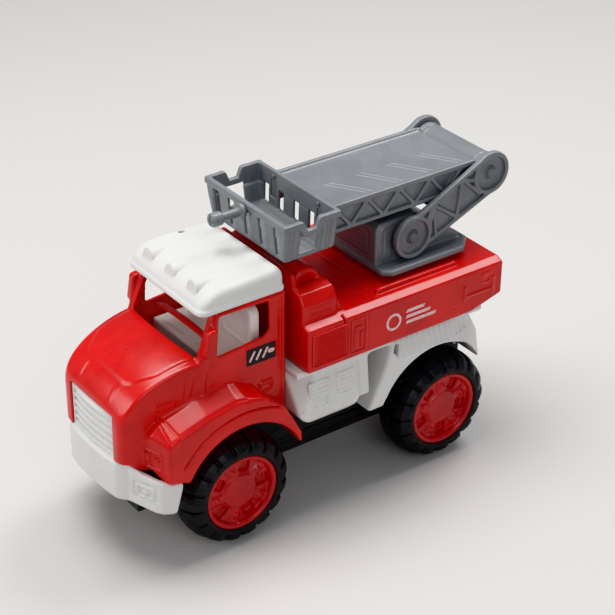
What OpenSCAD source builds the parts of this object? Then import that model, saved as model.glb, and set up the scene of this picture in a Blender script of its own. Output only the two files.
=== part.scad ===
/* [Overall] */
// Distance between the two axles
wheelbase = 135; // [125:1:140]
// Half the width of the rear body, at its flat sides
body_half_w = 47.3; // [46.5:0.1:48]
// Half the width of the cab at the doors
cab_half_w = 35; // [34:0.5:36]
// Wall thickness of the moulded shells
wall = 2; // [1.6:0.1:2.4]

/* [Wheels] */
// Outer radius of a tyre
tyre_r = 32; // [31:0.5:32]
// Width of a tyre
tyre_w = 25.4; // [24:0.2:25.4]
// Outer radius of a rim
rim_r = 21.8; // [20:0.2:22]
// Distance from the middle of the truck to a tyre's outer face
track_half_w = 48.6; // [48:0.1:49]
// Radius of the steel axles
axle_r = 2; // [1.5:0.1:2]

/* [Cab] */
// Height of the roof's lower edge
roof_z = 134.7; // [134:0.1:135]
// Height of the roof above its lower edge
roof_h = 12.6; // [11:0.2:12.6]
// Height of the window sills
sill_z = 110; // [108:0.5:111]

/* [Rear body] */
// Height of the rear body's lower edge
bed_bottom_z = 88.7; // [88.5:0.1:89]
// Height of the deck that carries the turntable
deck_z = 115.5; // [115:0.1:115.5]
// Length of the rear body
bed_l = 131; // [129:1:131]

/* [Turntable and arms] */
// Distance behind the middle of the truck to the swivel axis
swivel_y = 69; // [68:0.5:70]
// Height of the lower arm's pivot
arm_pivot_z = 135.2; // [135:0.1:135.4]
// Height of the elbow pivot
elbow_z = 158.2; // [158:0.1:158.6]
// Radius of the round ends of the lower arm
arm_end_r = 12.3; // [12:0.1:12.3]
// Half the width across the outside of the lower arm
arm_half_w = 30; // [29.6:0.1:30.4]
// Half the width of the boom
boom_half_w = 26; // [25.6:0.1:26]
// Radius of the hinge pins
pin_r = 2; // [1.8:0.1:2.2]

/* [Hidden] */
$fn = 64;
front_axle_y = -63;
rear_axle_y = front_axle_y + wheelbase;
axle_z = tyre_r;
run_fit = 0.05;
cab_rear_y = -26.5;
bed_front_y = -21.5;
bed_rear_y = bed_front_y + bed_l;
arm_pivot_y = 60.5;
elbow_y = 113;
arm_angle = atan2(elbow_z - arm_pivot_z, elbow_y - arm_pivot_y);
arm_l = norm([elbow_y - arm_pivot_y, elbow_z - arm_pivot_z]);
arm_plate_t = arm_half_w - boom_half_w - 0.4;
arm_inner_x = arm_half_w - arm_plate_t;
axle_half_l = 45;
hub_inner_x = track_half_w - tyre_w;
eps = 0.01;

// ---------- helpers ----------

// Draws its children and their mirror image on the other side of the truck
module both_sides() {
  children();
  mirror([1, 0, 0]) children();
}

// Extrudes an outline of (y, z) points along X from x0 to x1
module side_extrude(x0, x1) {
  translate([x0, 0, 0]) rotate([90, 0, 90]) linear_extrude(x1 - x0) children();
}

// Extrudes an outline of (x, z) points along Y from y0 to y1
module cross_extrude(y0, y1) {
  translate([0, y1, 0]) rotate([90, 0, 0]) linear_extrude(y1 - y0) children();
}

// A round bar along X between x0 and x1 at (y, z)
module bar_x(r, x0, x1, y, z) {
  translate([x0, y, z]) rotate([0, 90, 0]) cylinder(r = r, h = x1 - x0);
}

// A flat strip of width w between the two points a and b, a little longer than the distance
module strip(a, b, w) {
  d = b - a;
  translate(a) rotate(atan2(d[1], d[0])) translate([-0.3, -w / 2]) square([norm(d) + 0.6, w]);
}

// A box between two opposite corners
module block(low, high) {
  translate(low) cube(high - low);
}

// ---------- chassis ----------

pan_half_w = 21;
pan_floor_z = 24;
pan_top_z = 62;
pan_front_y = -110;
pan_rear_y = 104;
cradle_half_y = 6;
screw_spots = [[0, -88], [0, -10], [0, 40], [0, 96]];

module chassis_pan() {
  color("#1b1c1e") difference() {
    union() {
      difference() {
        block([-pan_half_w, pan_front_y, pan_floor_z], [pan_half_w, pan_rear_y, pan_top_z]);
        block([-pan_half_w + wall, pan_front_y + wall, pan_floor_z + wall],
              [pan_half_w - wall, pan_rear_y - wall, pan_top_z + 1]);
      }
      for (y = [front_axle_y, rear_axle_y])
        block([-pan_half_w, y - cradle_half_y, pan_floor_z],
              [pan_half_w, y + cradle_half_y, axle_z + 6]);
      for (p = screw_spots)
        translate([p[0], p[1], pan_floor_z]) cylinder(r = 4, h = pan_top_z - pan_floor_z);
      both_sides() block([-pan_half_w, -26, pan_top_z - 4], [-pan_half_w + 6, -6, pan_top_z]);
    }
    for (y = [front_axle_y, rear_axle_y]) {
      bar_x(axle_r + run_fit, -pan_half_w - 1, pan_half_w + 1, y, axle_z);
      block([-13, y - 4, pan_floor_z - 1], [13, y + 4, axle_z - 2.4]);
    }
    for (p = screw_spots) {
      translate([p[0], p[1], pan_floor_z - 1]) cylinder(r = 3.1, h = 4);
      translate([p[0], p[1], pan_floor_z]) cylinder(r = 1.6, h = 60);
    }
  }
}

// Plates that close the axle slots from below
module axle_keepers() {
  color("#232427") for (y = [front_axle_y, rear_axle_y])
    block([-12.9, y - 3.9, pan_floor_z], [12.9, y + 3.9, axle_z - 2.5]);
}

// A cross-head screw that points up, its head's lower face at z = 0
module pan_screw(length) {
  difference() {
    union() {
      cylinder(r = 2.9, h = 1.8);
      cylinder(r = 1.5, h = length);
    }
    for (a = [0, 90])
      rotate(a) translate([-2, -0.35, -1]) cube([4, 0.7, 2]);
  }
}

module chassis_screws() {
  color("#b9bcc0") for (p = screw_spots)
    translate([p[0], p[1], pan_floor_z + 1.1]) pan_screw(34);
}

// ---------- wheels ----------

tread_lugs = 18;
tyre_shoulder_r = tyre_r - 3;

module tyre_solid() {
  difference() {
    rotate_extrude($fn = 96) difference() {
      polygon([[rim_r - 0.4, 0], [rim_r + 1.5, 0], [tyre_shoulder_r - 1.5, 1.2], [tyre_shoulder_r, 3],
               [tyre_r, 7.5], [tyre_r, tyre_w - 7.5], [tyre_shoulder_r, tyre_w - 3],
               [tyre_shoulder_r - 1.5, tyre_w - 1.2], [rim_r + 1.5, tyre_w], [rim_r - 0.4, tyre_w]]);
      square([rim_r - 0.39, 1]);
    }
    for (i = [0 : tread_lugs - 1]) rotate(i * 360 / tread_lugs) {
      translate([tyre_r - 1.4, -0.7, -1]) cube([5, 1.4, tyre_w / 2]);
      rotate(180 / tread_lugs) translate([tyre_r - 1.4, -0.7, tyre_w / 2 + 1]) cube([5, 1.4, tyre_w / 2]);
    }
  }
}

rim_dish = 3.2;
rim_spoke_n = 5;

module rim_solid() {
  difference() {
    union() {
      rotate_extrude($fn = 96) polygon([
        [axle_r - 0.02, 0], [6, 0], [6, 16], [15, 16], [rim_r - 2.2, 14], [rim_r - 2.2, 0],
        [rim_r - 0.4, 0], [rim_r - 0.4, tyre_w - 1.8], [rim_r, tyre_w - 1.8], [rim_r, tyre_w - 0.8],
        [rim_r - 2.4, tyre_w - 0.8], [rim_r - 3.6, tyre_w - rim_dish - 0.8],
        [axle_r - 0.02, tyre_w - rim_dish - 0.8]]);
      for (i = [0 : rim_spoke_n - 1])
        rotate(i * 360 / rim_spoke_n) translate([14.2, 0, tyre_w - rim_dish - 1]) cylinder(r = 1.9, h = 1.7);
      translate([0, 0, tyre_w - rim_dish - 1]) cylinder(r = 8.5, h = 1.4);
    }
    for (i = [0 : rim_spoke_n - 1])
      rotate((i + 0.5) * 360 / rim_spoke_n)
        translate([12.2, -3, tyre_w - rim_dish - 2.2]) cube([4, 6, 3]);
    translate([0, 0, -1]) cylinder(r = axle_r - 0.02, h = axle_half_l - hub_inner_x + 1);
  }
}

// Puts a wheel part, drawn along +Z from its inner face, on the left or right end of an axle
module at_wheel(y, side) {
  translate([side * hub_inner_x, y, axle_z]) rotate([0, side * 90, 0]) children();
}

module axle_rod(y) {
  color("#c8cacd") bar_x(axle_r, -axle_half_l, axle_half_l, y, axle_z);
}

module tyre(y, side) {
  color("#161719") at_wheel(y, side) tyre_solid();
}

module rim(y, side) {
  color("#c3161c") at_wheel(y, side) rim_solid();
}

// ---------- white underframe: steps, rear wheel fenders and the plate that joins them ----------

fender_x = 48.2;
fender_inner_x = 22.6;
arch_y = rear_axle_y - 7.5;
arch_z = 38;
arch_r = 38;
fender_outline = [[19, 50], [29, 50], [60, 60], [96.5, 52], [99.6, 53], [100.4, 70], [91, 88.2], [36, 88.2]];
step_front_y = -25.6;
step_rear_y = 12.5;

module underframe() {
  color("#f1f1ee") difference() {
    union() {
      block([-44, -26, 84.6], [44, 99, 88.4]);
      both_sides() {
        side_extrude(fender_inner_x, fender_x) polygon(fender_outline);
        cross_extrude(step_front_y, step_rear_y)
          polygon([[22.6, 57], [45.5, 57], [48.2, 60], [48.2, 65], [44.2, 84], [44, 88.3], [22.6, 88.3]]);
      }
      block([-24, -26, pan_top_z + 0.2], [24, -22, 86]);
      block([-24, 14, pan_top_z + 0.2], [24, 19, 86]);
      block([-22.7, 86, pan_top_z + 0.2], [22.7, 98, 86]);
      for (p = screw_spots)
        if (p[1] > -20)
          translate([p[0], p[1], pan_top_z + 0.1]) cylinder(r = 4, h = 24);
    }
    both_sides() {
      bar_x(arch_r, fender_inner_x + wall, fender_x + 1, arch_y, arch_z);
      side_extrude(fender_inner_x - 1, fender_inner_x + wall + 1)
        translate([arch_y, arch_z]) circle(r = arch_r - 2);
      side_extrude(fender_inner_x - 1, fender_x - wall)
        polygon([[21.6, 49], [30, 49], [40, 84], [37, 84]]);
      cross_extrude(step_front_y + wall, step_rear_y - wall)
        polygon([[20, 59], [44.8, 59], [46.2, 60.5], [46.2, 64.8], [42.2, 84.6], [20, 84.6]]);
      for (y = [-20.5, -1.5])
        cross_extrude(y, y + 15.5)
          polygon([[48.4, 68], [47.1, 67.4], [44.7, 80.2], [46, 80.6]]);
    }
    for (p = screw_spots)
      if (p[1] > -20)
        translate([p[0], p[1], pan_top_z - 1]) cylinder(r = 1.45, h = 16);
  }
}

// ---------- front bumper with grille ----------

grille_half_w = 20.3;
grille_z0 = 62;
grille_z1 = 87.5;

bumper_plan = [[0, -125.3], [15, -124.8], [24.3, -122.8], [26.4, -118.6], [38, -112.5], [46.5, -101.5],
               [46.5, -97], [43.5, -97], [36, -107.5], [24, -114.5], [21, -118.5], [0, -120]];

module bumper_grille() {
  color("#efefec") both_sides() {
    intersection() {
      translate([0, 0, 30]) linear_extrude(34) polygon(bumper_plan);
      side_extrude(-1, 60) polygon([[-130, 39], [-122, 38.6], [-112, 36], [-90, 32.5], [-90, 51],
                                    [-104, 53.5], [-114, 57.5], [-118.7, 62], [-130, 62]]);
    }
    block([-eps, -122.6, 60], [grille_half_w - 0.2, -119.4, grille_z1 - 0.3]);
    for (i = [0 : 3])
      block([-eps, -123.4, 65 + i * 5.6], [grille_half_w - 0.6, -119.5, 67.6 + i * 5.6]);
    block([14, -119.5, 42], [18, pan_front_y - 0.2, 56]);
  }
}

// ---------- cab ----------

// Bonnet sections from nose to cowl: y, height and half width
hood_sections = [[-122.6, 88.4, 25.4], [-119.2, 93.4, 29.4], [-114, 99.2, 30.3],
                 [-106, 104.4, 31.3], [-96, 108.4, 32.5], [-79, 111.4, 34.5]];

// Front wheel arch
front_arch_y = -60;
front_arch_z = 34;
front_arch_r = 37.5;

module front_fender_outline() {
  polygon([[-112, 52], [-111.5, 70], [-104, 77], [-82, 84], [-64, 87.3], [-48, 84.5], [-33, 71.5],
           [-22.4, 49.5], [-26, 48.2], [-60, 60], [-95, 50.5]]);
}

module hood_block(inset) {
  hull() {
    for (p = hood_sections)
      block([inset - p[2], p[0] + inset, 55], [p[2] - inset, p[0] + inset + 0.5, p[1] - inset]);
  }
}

module cab_shell() {
  color("#d3191b") difference() {
    union() {
      hood_block(0);
      block([-cab_half_w, -79.5, 63], [cab_half_w, cab_rear_y, sill_z]);
      side_extrude(-cab_half_w, cab_half_w)
        polygon([[-79.5, 109], [-68, roof_z], [cab_rear_y, roof_z], [cab_rear_y, 109]]);
      both_sides() side_extrude(22.8, 46.8) front_fender_outline();
      both_sides() block([cab_half_w - 1, -76, 117], [cab_half_w + 3.2, -72, 128]);
      both_sides() block([cab_half_w - 1, -43.5, 79], [cab_half_w + 1, -35.5, 86]);
    }
    hood_block(wall);
    block([-cab_half_w + wall, -80, 62], [cab_half_w - wall, cab_rear_y - wall, roof_z + 1]);
    block([-cab_half_w + wall, -84, 54], [cab_half_w - wall, -76, 108.5]);
    both_sides() {
      bar_x(front_arch_r, 22.8 + wall, 48, front_arch_y, front_arch_z);
      side_extrude(22, 25) translate([front_arch_y, front_arch_z]) circle(r = front_arch_r - 2);
      side_extrude(22, 46.8 - wall) polygon([[-110, 51], [-109.5, 69], [-103, 75], [-93, 78], [-96, 50]]);
    }
    both_sides() side_extrude(cab_half_w - 4, cab_half_w + 1)
      polygon([[-67.8, sill_z], [-66, 131.5], [-37.5, 131.5], [-36.5, sill_z]]);
    cross_extrude(-90, -60)
      polygon([[-31, 112.5], [31, 112.5], [29, 132], [-29, 132]]);
    block([-grille_half_w, -126, grille_z0], [grille_half_w, -116, grille_z1]);
    block([-23, -27, 50], [23, -20, 88]);
    block([-60, -130, 40], [60, -112.8, 62]);
    both_sides() side_extrude(22.5, 50)
      polygon([[-130, 40], [-130, 62.2], [-118.7, 62.2], [-114, 57.8], [-104, 53.8], [-96, 52.2], [-96, 40]]);
  }
}

roof_half_w = 34.8;
roof_front_y = -76.5;

module roof_shape(inset) {
  hull() {
    for (x = [-1, 1], y = [roof_front_y + 7 + inset, cab_rear_y - 6 - inset])
      translate([x * (roof_half_w - 7 - inset), y, roof_z]) {
        cylinder(r = 6.9 - (y > -60 ? 1 : 0), h = 3, $fn = 32);
        translate([-x * 2, y > -60 ? 0 : 3, roof_h - 6 - inset]) sphere(r = 6, $fn = 32);
      }
  }
}

module cab_roof() {
  color("#f4f4f1") difference() {
    union() {
      intersection() {
        roof_shape(0);
        block([-40, -90, roof_z + 0.1], [40, 0, 160]);
      }
      for (x = [-20.4, 0, 20.4])
        side_extrude(x - 4.6, x + 4.6)
          polygon([[-74.6, 142.5], [-74, 148.4], [-71, 149.6], [-68, 149.8], [-44, 146.5], [-44, 142.5]]);
    }
    block([-roof_half_w + 5, roof_front_y + 6, roof_z - 1],
          [roof_half_w - 5, cab_rear_y - 4, roof_z + roof_h - 3.6]);
    translate([-29.5, -47.5, roof_z]) cylinder(r = 1.6, h = 30);
  }
}

module seat_bench() {
  color("#efe9e6") union() {
    block([-31, -66, 90], [31, -43, 101]);
    difference() {
      hull() {
        for (x = [-1, 1]) {
          block([x * 29 - 1, -45, 95], [x * 29 + 1, -39, 118]);
          translate([x * 25, -39, 122]) rotate([90, 0, 0]) cylinder(r = 5, h = 6, $fn = 32);
        }
      }
      block([-1.2, -46, 103], [1.2, -44, 130]);
    }
    block([-31, -45, 88.6], [31, cab_rear_y - wall - 0.4, 96]);
  }
}

module door_plates() {
  color("#1a1b1d") both_sides() side_extrude(cab_half_w + 0.01, cab_half_w + 0.5)
    polygon([[-51.5, 98], [-33.4, 98], [-33.4, 108], [-51.5, 108]]);
}

// ---------- rear body ----------

bed_section = [[-body_half_w, bed_bottom_z], [body_half_w, bed_bottom_z], [body_half_w, 113.6],
               [42.3, deck_z], [-42.3, deck_z], [-body_half_w, 113.6]];
bed_inner = [[-body_half_w + wall, bed_bottom_z - 1], [body_half_w - wall, bed_bottom_z - 1],
             [body_half_w - wall, 112.4], [41.5, deck_z - wall], [-41.5, deck_z - wall],
             [-body_half_w + wall, 112.4]];
chest_rear_y = 0.5;
chest_section = [[-42.3, 114], [42.3, 114], [42.3, 125.6], [38.7, 131.2], [34, 132.2],
                 [-34, 132.2], [-38.7, 131.2], [-42.3, 125.6]];
swivel_r = 5;

module rear_body() {
  color("#cf1a1c") difference() {
    union() {
      cross_extrude(bed_front_y, bed_rear_y) polygon(bed_section);
      cross_extrude(bed_front_y, chest_rear_y) polygon(chest_section);
      cross_extrude(bed_front_y, bed_front_y + 3) polygon([[-34, 130], [34, 130], [31, 140], [-31, 140]]);
      both_sides() {
        side_extrude(36, 39.4) polygon([[28, 115], [29, 118.4], [83, 118], [84, 115]]);
        side_extrude(body_half_w - 0.1, body_half_w + 0.7)
          polygon([[-19, 91.5], [15.5, 91.5], [15.5, 111], [-19, 111]]);
        side_extrude(body_half_w - 0.1, body_half_w + 0.7)
          polygon([[94, 104.5], [101, 104.5], [101, 110.5], [94, 110.5]]);
        side_extrude(body_half_w - 0.1, body_half_w + 0.7) {
          polygon([[81, 97.3], [84, 97.3], [84, 105], [81, 105]]);
          polygon([[84, 98.6], [101, 98.6], [101, 100.4], [84, 100.4]]);
          polygon([[101, 96.8], [104, 96.8], [104, 106], [101, 106]]);
        }
        bar_x(9, 14, 30, bed_front_y + 12, 131);
      }
    }
    cross_extrude(bed_front_y + wall, bed_rear_y - wall) polygon(bed_inner);
    side_extrude(-50, 50) polygon([[89, bed_bottom_z - 1], [bed_rear_y + 1, bed_bottom_z - 1],
                                   [bed_rear_y + 1, 94.6], [89, bed_bottom_z]]);
    cross_extrude(bed_front_y + wall, chest_rear_y - wall) polygon([[-40, 112], [40, 112], [40, 125],
      [37.5, 129.2], [-37.5, 129.2], [-40, 125]]);
    both_sides() {
      side_extrude(body_half_w, body_half_w + 1)
        polygon([[-17, 93.5], [4, 93.5], [4, 109], [-17, 109]]);
      side_extrude(body_half_w, body_half_w + 1)
        polygon([[6, 93.5], [13.5, 93.5], [13.5, 109], [6, 109]]);
    }
    translate([0, swivel_y, deck_z - 10]) cylinder(r = swivel_r + run_fit, h = 20);
  }
}

module side_stickers() {
  color("#f4d5d5") both_sides() side_extrude(body_half_w + 0.01, body_half_w + 0.2) {
    translate([34, 101]) difference() {
      circle(r = 5);
      circle(r = 3.6);
    }
    for (i = [0 : 2])
      polygon([[42, 97 + i * 3.4], [62 - i * 4, 97 + i * 3.4],
               [63 - i * 4, 98.8 + i * 3.4], [43, 98.8 + i * 3.4]]);
  }
}

// ---------- turntable ----------

plate_z0 = 118.8;
plate_z1 = 122.3;
plate_half_w = 34.5;
plate_front_y = 38;
plate_rear_y = 101;
housing_half_w = 23.5;

module turntable() {
  color("#63676b") difference() {
    union() {
      translate([0, 0, plate_z0]) linear_extrude(plate_z1 - plate_z0)
        polygon([[-plate_half_w + 4, plate_front_y], [plate_half_w - 4, plate_front_y],
                 [plate_half_w, plate_front_y + 5], [plate_half_w, plate_rear_y - 9],
                 [plate_half_w - 9, plate_rear_y], [-plate_half_w + 9, plate_rear_y],
                 [-plate_half_w, plate_rear_y - 9], [-plate_half_w, plate_front_y + 5]]);
      translate([0, swivel_y, deck_z + 0.2]) cylinder(r = 29, h = plate_z0 - deck_z);
      translate([0, swivel_y, deck_z - wall - 0.4]) cylinder(r = swivel_r, h = 6);
      side_extrude(-housing_half_w, housing_half_w)
        polygon([[plate_front_y + 1.5, plate_z0 + 1], [plate_front_y + 1.5, 143], [plate_front_y + 4, 146],
                 [66, 146], [71, 142], [90, 129.5], [97, 124.5], [97, plate_z0 + 1]]);
      both_sides() bar_x(9, housing_half_w - 1, 25.9, arm_pivot_y, arm_pivot_z);
    }
    side_extrude(-housing_half_w + wall, housing_half_w - wall)
      polygon([[plate_front_y + 4, 110], [plate_front_y + 4, 142], [plate_front_y + 5, 144],
               [65, 144], [69.5, 140.4], [89, 127.5], [94.8, 123], [94.8, 110]]);
    difference() {
      translate([0, swivel_y, deck_z - 5]) cylinder(r = 26.5, h = plate_z0 - deck_z + 4);
      translate([0, swivel_y, deck_z - 6]) cylinder(r = 8, h = 20);
    }
    both_sides() bar_x(pin_r - 0.02, housing_half_w - 8, 27, arm_pivot_y, arm_pivot_z);
  }
  color("#63676b") difference() {
    union() {
      translate([0, swivel_y, deck_z + 0.2]) cylinder(r = 8, h = 6);
      translate([0, swivel_y, deck_z - wall - 0.4]) cylinder(r = swivel_r, h = 6);
      translate([0, swivel_y, plate_z0]) cylinder(r = 27.5, h = 2);
    }
    translate([0, swivel_y, deck_z - 6]) cylinder(r = 1.4, h = 11.5);
  }
  color("#63676b") both_sides() difference() {
    bar_x(6, housing_half_w - 8, housing_half_w - 1, arm_pivot_y, arm_pivot_z);
    bar_x(pin_r - 0.02, housing_half_w - 9, 27, arm_pivot_y, arm_pivot_z);
  }
}

module turntable_washer() {
  color("#b9bcc0") translate([0, swivel_y, deck_z - wall - 1.7]) difference() {
    cylinder(r = 8.5, h = 1);
    translate([0, 0, -1]) cylinder(r = 1.6, h = 3);
  }
}

module turntable_screw() {
  color("#b9bcc0") translate([0, swivel_y, deck_z - wall - 3.5]) pan_screw(10);
}

// ---------- lower arm ----------

// Flat outline of the arm, along +X from its lower pivot at the origin
module arm_outline() {
  circle(r = arm_end_r);
  translate([arm_l, 0]) circle(r = arm_end_r);
  polygon([[0, -arm_end_r + 1.5], [arm_l, -arm_end_r + 0.6], [arm_l, arm_end_r - 0.2],
           [6, arm_end_r - 2.2]]);
}

module arm_webs() {
  a = [12, -8];
  b = [19, 8];
  c = [30, -9];
  d = [41, 9];
  e = [46, -8];
  strip(a, b, 1.8);
  strip(b, c, 1.8);
  strip(c, d, 1.8);
  strip(d, e, 1.8);
  strip([8, 0], b, 1.8);
  strip(d, [arm_l - 8, 0], 1.8);
}

// Moves children from the arm's own axes to the truck
module on_arm() {
  translate([0, arm_pivot_y, arm_pivot_z]) rotate([arm_angle, 0, 0]) rotate([90, 0, 90]) children();
}

module lower_arm() {
  color("#6b6f73") {
    both_sides() difference() {
      on_arm() translate([0, 0, arm_inner_x]) difference() {
        union() {
          linear_extrude(1.2) arm_outline();
          linear_extrude(arm_plate_t) difference() {
            arm_outline();
            offset(delta = -2.2) arm_outline();
          }
          linear_extrude(arm_plate_t - 0.6) intersection() {
            arm_webs();
            arm_outline();
          }
          for (x = [0, arm_l]) translate([x, 0, 0]) {
            cylinder(r = arm_end_r, h = arm_plate_t);
          }
        }
        for (x = [0, arm_l]) translate([x, 0, 1.8]) difference() {
          cylinder(r = arm_end_r - 2.9, h = 10);
          translate([0, 0, -1]) cylinder(r = pin_r + 2, h = 1.6);
        }
        for (x = [0, arm_l])
          translate([x, 0, -1]) cylinder(r = x == 0 ? pin_r + run_fit : pin_r - 0.02, h = 20);
      }
    }
    on_arm() translate([0, 0, -arm_inner_x - 0.5]) linear_extrude(2 * arm_inner_x + 1)
      polygon([[26, -11], [44, -11.2], [44, -9.2], [26, -9]]);
  }
}

module pin_with_head(y, z, x0) {
  both_sides() {
    bar_x(pin_r, x0, arm_inner_x + 3, y, z);
    translate([arm_inner_x + 2.5, y, z])
      rotate([0, 90, 0]) cylinder(r1 = pin_r + 1.4, r2 = pin_r + 0.6, h = 1);
  }
}

module arm_pins() {
  color("#5b5f63") pin_with_head(arm_pivot_y, arm_pivot_z, housing_half_w - 6);
}

module elbow_pins() {
  color("#5b5f63") pin_with_head(elbow_y, elbow_z, 12);
}

// ---------- boom ----------

boom_front_y = 8;
boom_z0 = 151;
boom_z1 = 166.6;
boom_deck_z = 165.6;
truss_pitch = 21;

// Chords, end post and zigzag of one side, as a flat (y, z) outline
module boom_truss() {
  translate([boom_front_y, boom_z0]) square([88, 2.2]);
  translate([boom_front_y, boom_z1 - 2.6]) square([98, 2.6]);
  translate([boom_front_y, boom_z0]) square([2, boom_z1 - boom_z0]);
  for (i = [0 : 3]) {
    y = boom_front_y + 3 + i * truss_pitch;
    strip([y, boom_z1 - 2], [y + truss_pitch / 2, boom_z0 + 1.3], 2);
    strip([y + truss_pitch / 2 + 0.2, boom_z0 + 1.2], [y + truss_pitch, boom_z1 - 1.9], 2);
  }
}

module boom() {
  color("#73777b") difference() {
    union() {
      block([-boom_half_w + 0.8, boom_front_y, boom_deck_z - wall], [boom_half_w - 0.8, 105.6, boom_deck_z]);
      both_sides() {
        side_extrude(boom_half_w - 3.4, boom_half_w - 1.6)
          polygon([[boom_front_y + 0.3, boom_z0 + 0.4], [95, boom_z0 + 0.4], [105, 156],
                   [105, boom_z1 - 1], [boom_front_y + 0.3, boom_z1 - 1]]);
        side_extrude(boom_half_w - 2, boom_half_w) boom_truss();
        bar_x(9.6, boom_half_w - 6, boom_half_w, elbow_y, elbow_z);
      }
      bar_x(9.2, -boom_half_w + 5, boom_half_w - 5, elbow_y, elbow_z);
      for (i = [0 : 3])
        for (k = [0, 1])
          translate([0, 24 + i * 20 + k * 3.4, boom_deck_z - 0.5]) linear_extrude(1)
            polygon([[0, 0], [18, 12], [18, 13.2], [0, 1.2], [-18, 13.2], [-18, 12]]);
      both_sides() block([boom_half_w - 8, boom_front_y - 3, 155],
                         [boom_half_w - 3, boom_front_y + 5, 164.6]);
    }
    bar_x(7.2, -boom_half_w + 7, boom_half_w - 7, elbow_y, elbow_z);
    both_sides() bar_x(pin_r + run_fit, 10, 30, elbow_y, elbow_z);
    side_extrude(-boom_half_w + 7, boom_half_w - 7)
      polygon([[100, 148], [113, 140], [125, 148], [118, 153], [104, 153]]);
  }
}

// ---------- basket ----------

basket_front_y = -28.6;
basket_rear_y = 6.5;
basket_half_w = 36.4;
basket_z0 = 147.3;
basket_z1 = 170.6;
basket_floor_half_w = 31.5;
basket_taper = 3.2;

module basket_outer(grow) {
  hull() {
    block([-basket_floor_half_w - grow, basket_front_y + basket_taper - grow, basket_z0],
          [basket_floor_half_w + grow, basket_rear_y - 0.5 + grow, basket_z0 + 1]);
    block([-basket_half_w + 1 - grow, basket_front_y + 1 - grow, basket_z1 - 3],
          [basket_half_w - 1 + grow, basket_rear_y + grow, basket_z1 - 1]);
  }
}

module basket() {
  color("#6e7276") difference() {
    union() {
      basket_outer(0);
      block([-basket_half_w, basket_front_y, basket_z1 - 3.4],
            [basket_half_w, basket_rear_y + 0.6, basket_z1]);
      both_sides() block([basket_half_w - 3.2, -19, 158.6], [basket_half_w, -4, 164]);
    }
    difference() {
      translate([0, 0, wall]) hull() {
        block([-basket_floor_half_w + wall, basket_front_y + basket_taper + wall, basket_z0],
              [basket_floor_half_w - wall, basket_rear_y - 0.5 - wall, basket_z0 + 1]);
        block([-basket_half_w + 1 + wall, basket_front_y + 1 + wall, basket_z1 - 3],
              [basket_half_w - 1 - wall, basket_rear_y - wall, basket_z1 + 2]);
      }
    }
    for (i = [-3 : 3])
      block([i * 8.6 - 1.3, basket_front_y - 1, 150.5], [i * 8.6 + 1.3, basket_front_y + 8, 165]);
    for (i = [-3 : 3])
      block([i * 8.6 - 1.3, basket_rear_y - 5, 151.5], [i * 8.6 + 1.3, basket_rear_y - wall + 3, 161]);
    for (y = [-23.5, -15, -6.5, 0.8])
      block([-50, y - 1.2, 150.5], [50, y + 1.2, 158.4]);
    block([-50, -17.5, 163.8], [50, -5.5, 180]);
    both_sides() block([boom_half_w - 8.02, boom_front_y - 8, 154.98],
                       [boom_half_w - 2.98, boom_front_y + 5, 164.62]);
    translate([0, basket_front_y - 5, 165.5]) rotate([-90, 0, 0]) cylinder(r = 1.98, h = 12);
  }
}

module basket_pins() {
  color("#5b5f63") both_sides() translate([boom_half_w - 6.5, basket_rear_y - wall - 1.2, 167.6])
    rotate([-90, 0, 0]) cylinder(r = 1.2, h = 3);
}

module water_nozzle() {
  color("#7b7f83") translate([0, basket_front_y, 165.5]) rotate([90, 0, 0]) union() {
    translate([0, 0, -3]) cylinder(r = 2, h = 6);
    translate([0, 0, 0.02]) cylinder(r = 4.4, h = 2.6);
    cylinder(r = 2.3, h = 15);
    translate([0, 0, 12.5]) cylinder(r = 3.9, h = 7.5);
  }
}

// ---------- nodes ----------

chassis_pan();
axle_keepers();
chassis_screws();
underframe();
bumper_grille();
cab_shell();
cab_roof();
seat_bench();
door_plates();
rear_body();
side_stickers();
turntable_washer();
turntable_screw();
axle_rod(front_axle_y);  // front_axle
tyre(front_axle_y, 1);  // front_left_tyre
tyre(front_axle_y, -1);  // front_right_tyre
rim(front_axle_y, 1);  // front_left_rim
rim(front_axle_y, -1);  // front_right_rim
axle_rod(rear_axle_y);  // rear_axle
tyre(rear_axle_y, 1);  // rear_left_tyre
tyre(rear_axle_y, -1);  // rear_right_tyre
rim(rear_axle_y, 1);  // rear_left_rim
rim(rear_axle_y, -1);  // rear_right_rim
turntable();
arm_pins();
lower_arm();
elbow_pins();
boom();
basket();
basket_pins();
water_nozzle();
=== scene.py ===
"""A moulded plastic toy fire engine with a folding ladder arm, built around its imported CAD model.

The visible mouldings are distance fields: each is put together from outlines and solids in millimetres,
sampled on a fine grid, softened a little as a mould does, and turned into a mesh with clean normals.
"""

import math

import bpy
import numpy as np
import openvdb as vdb
from mathutils import Matrix, Vector


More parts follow.
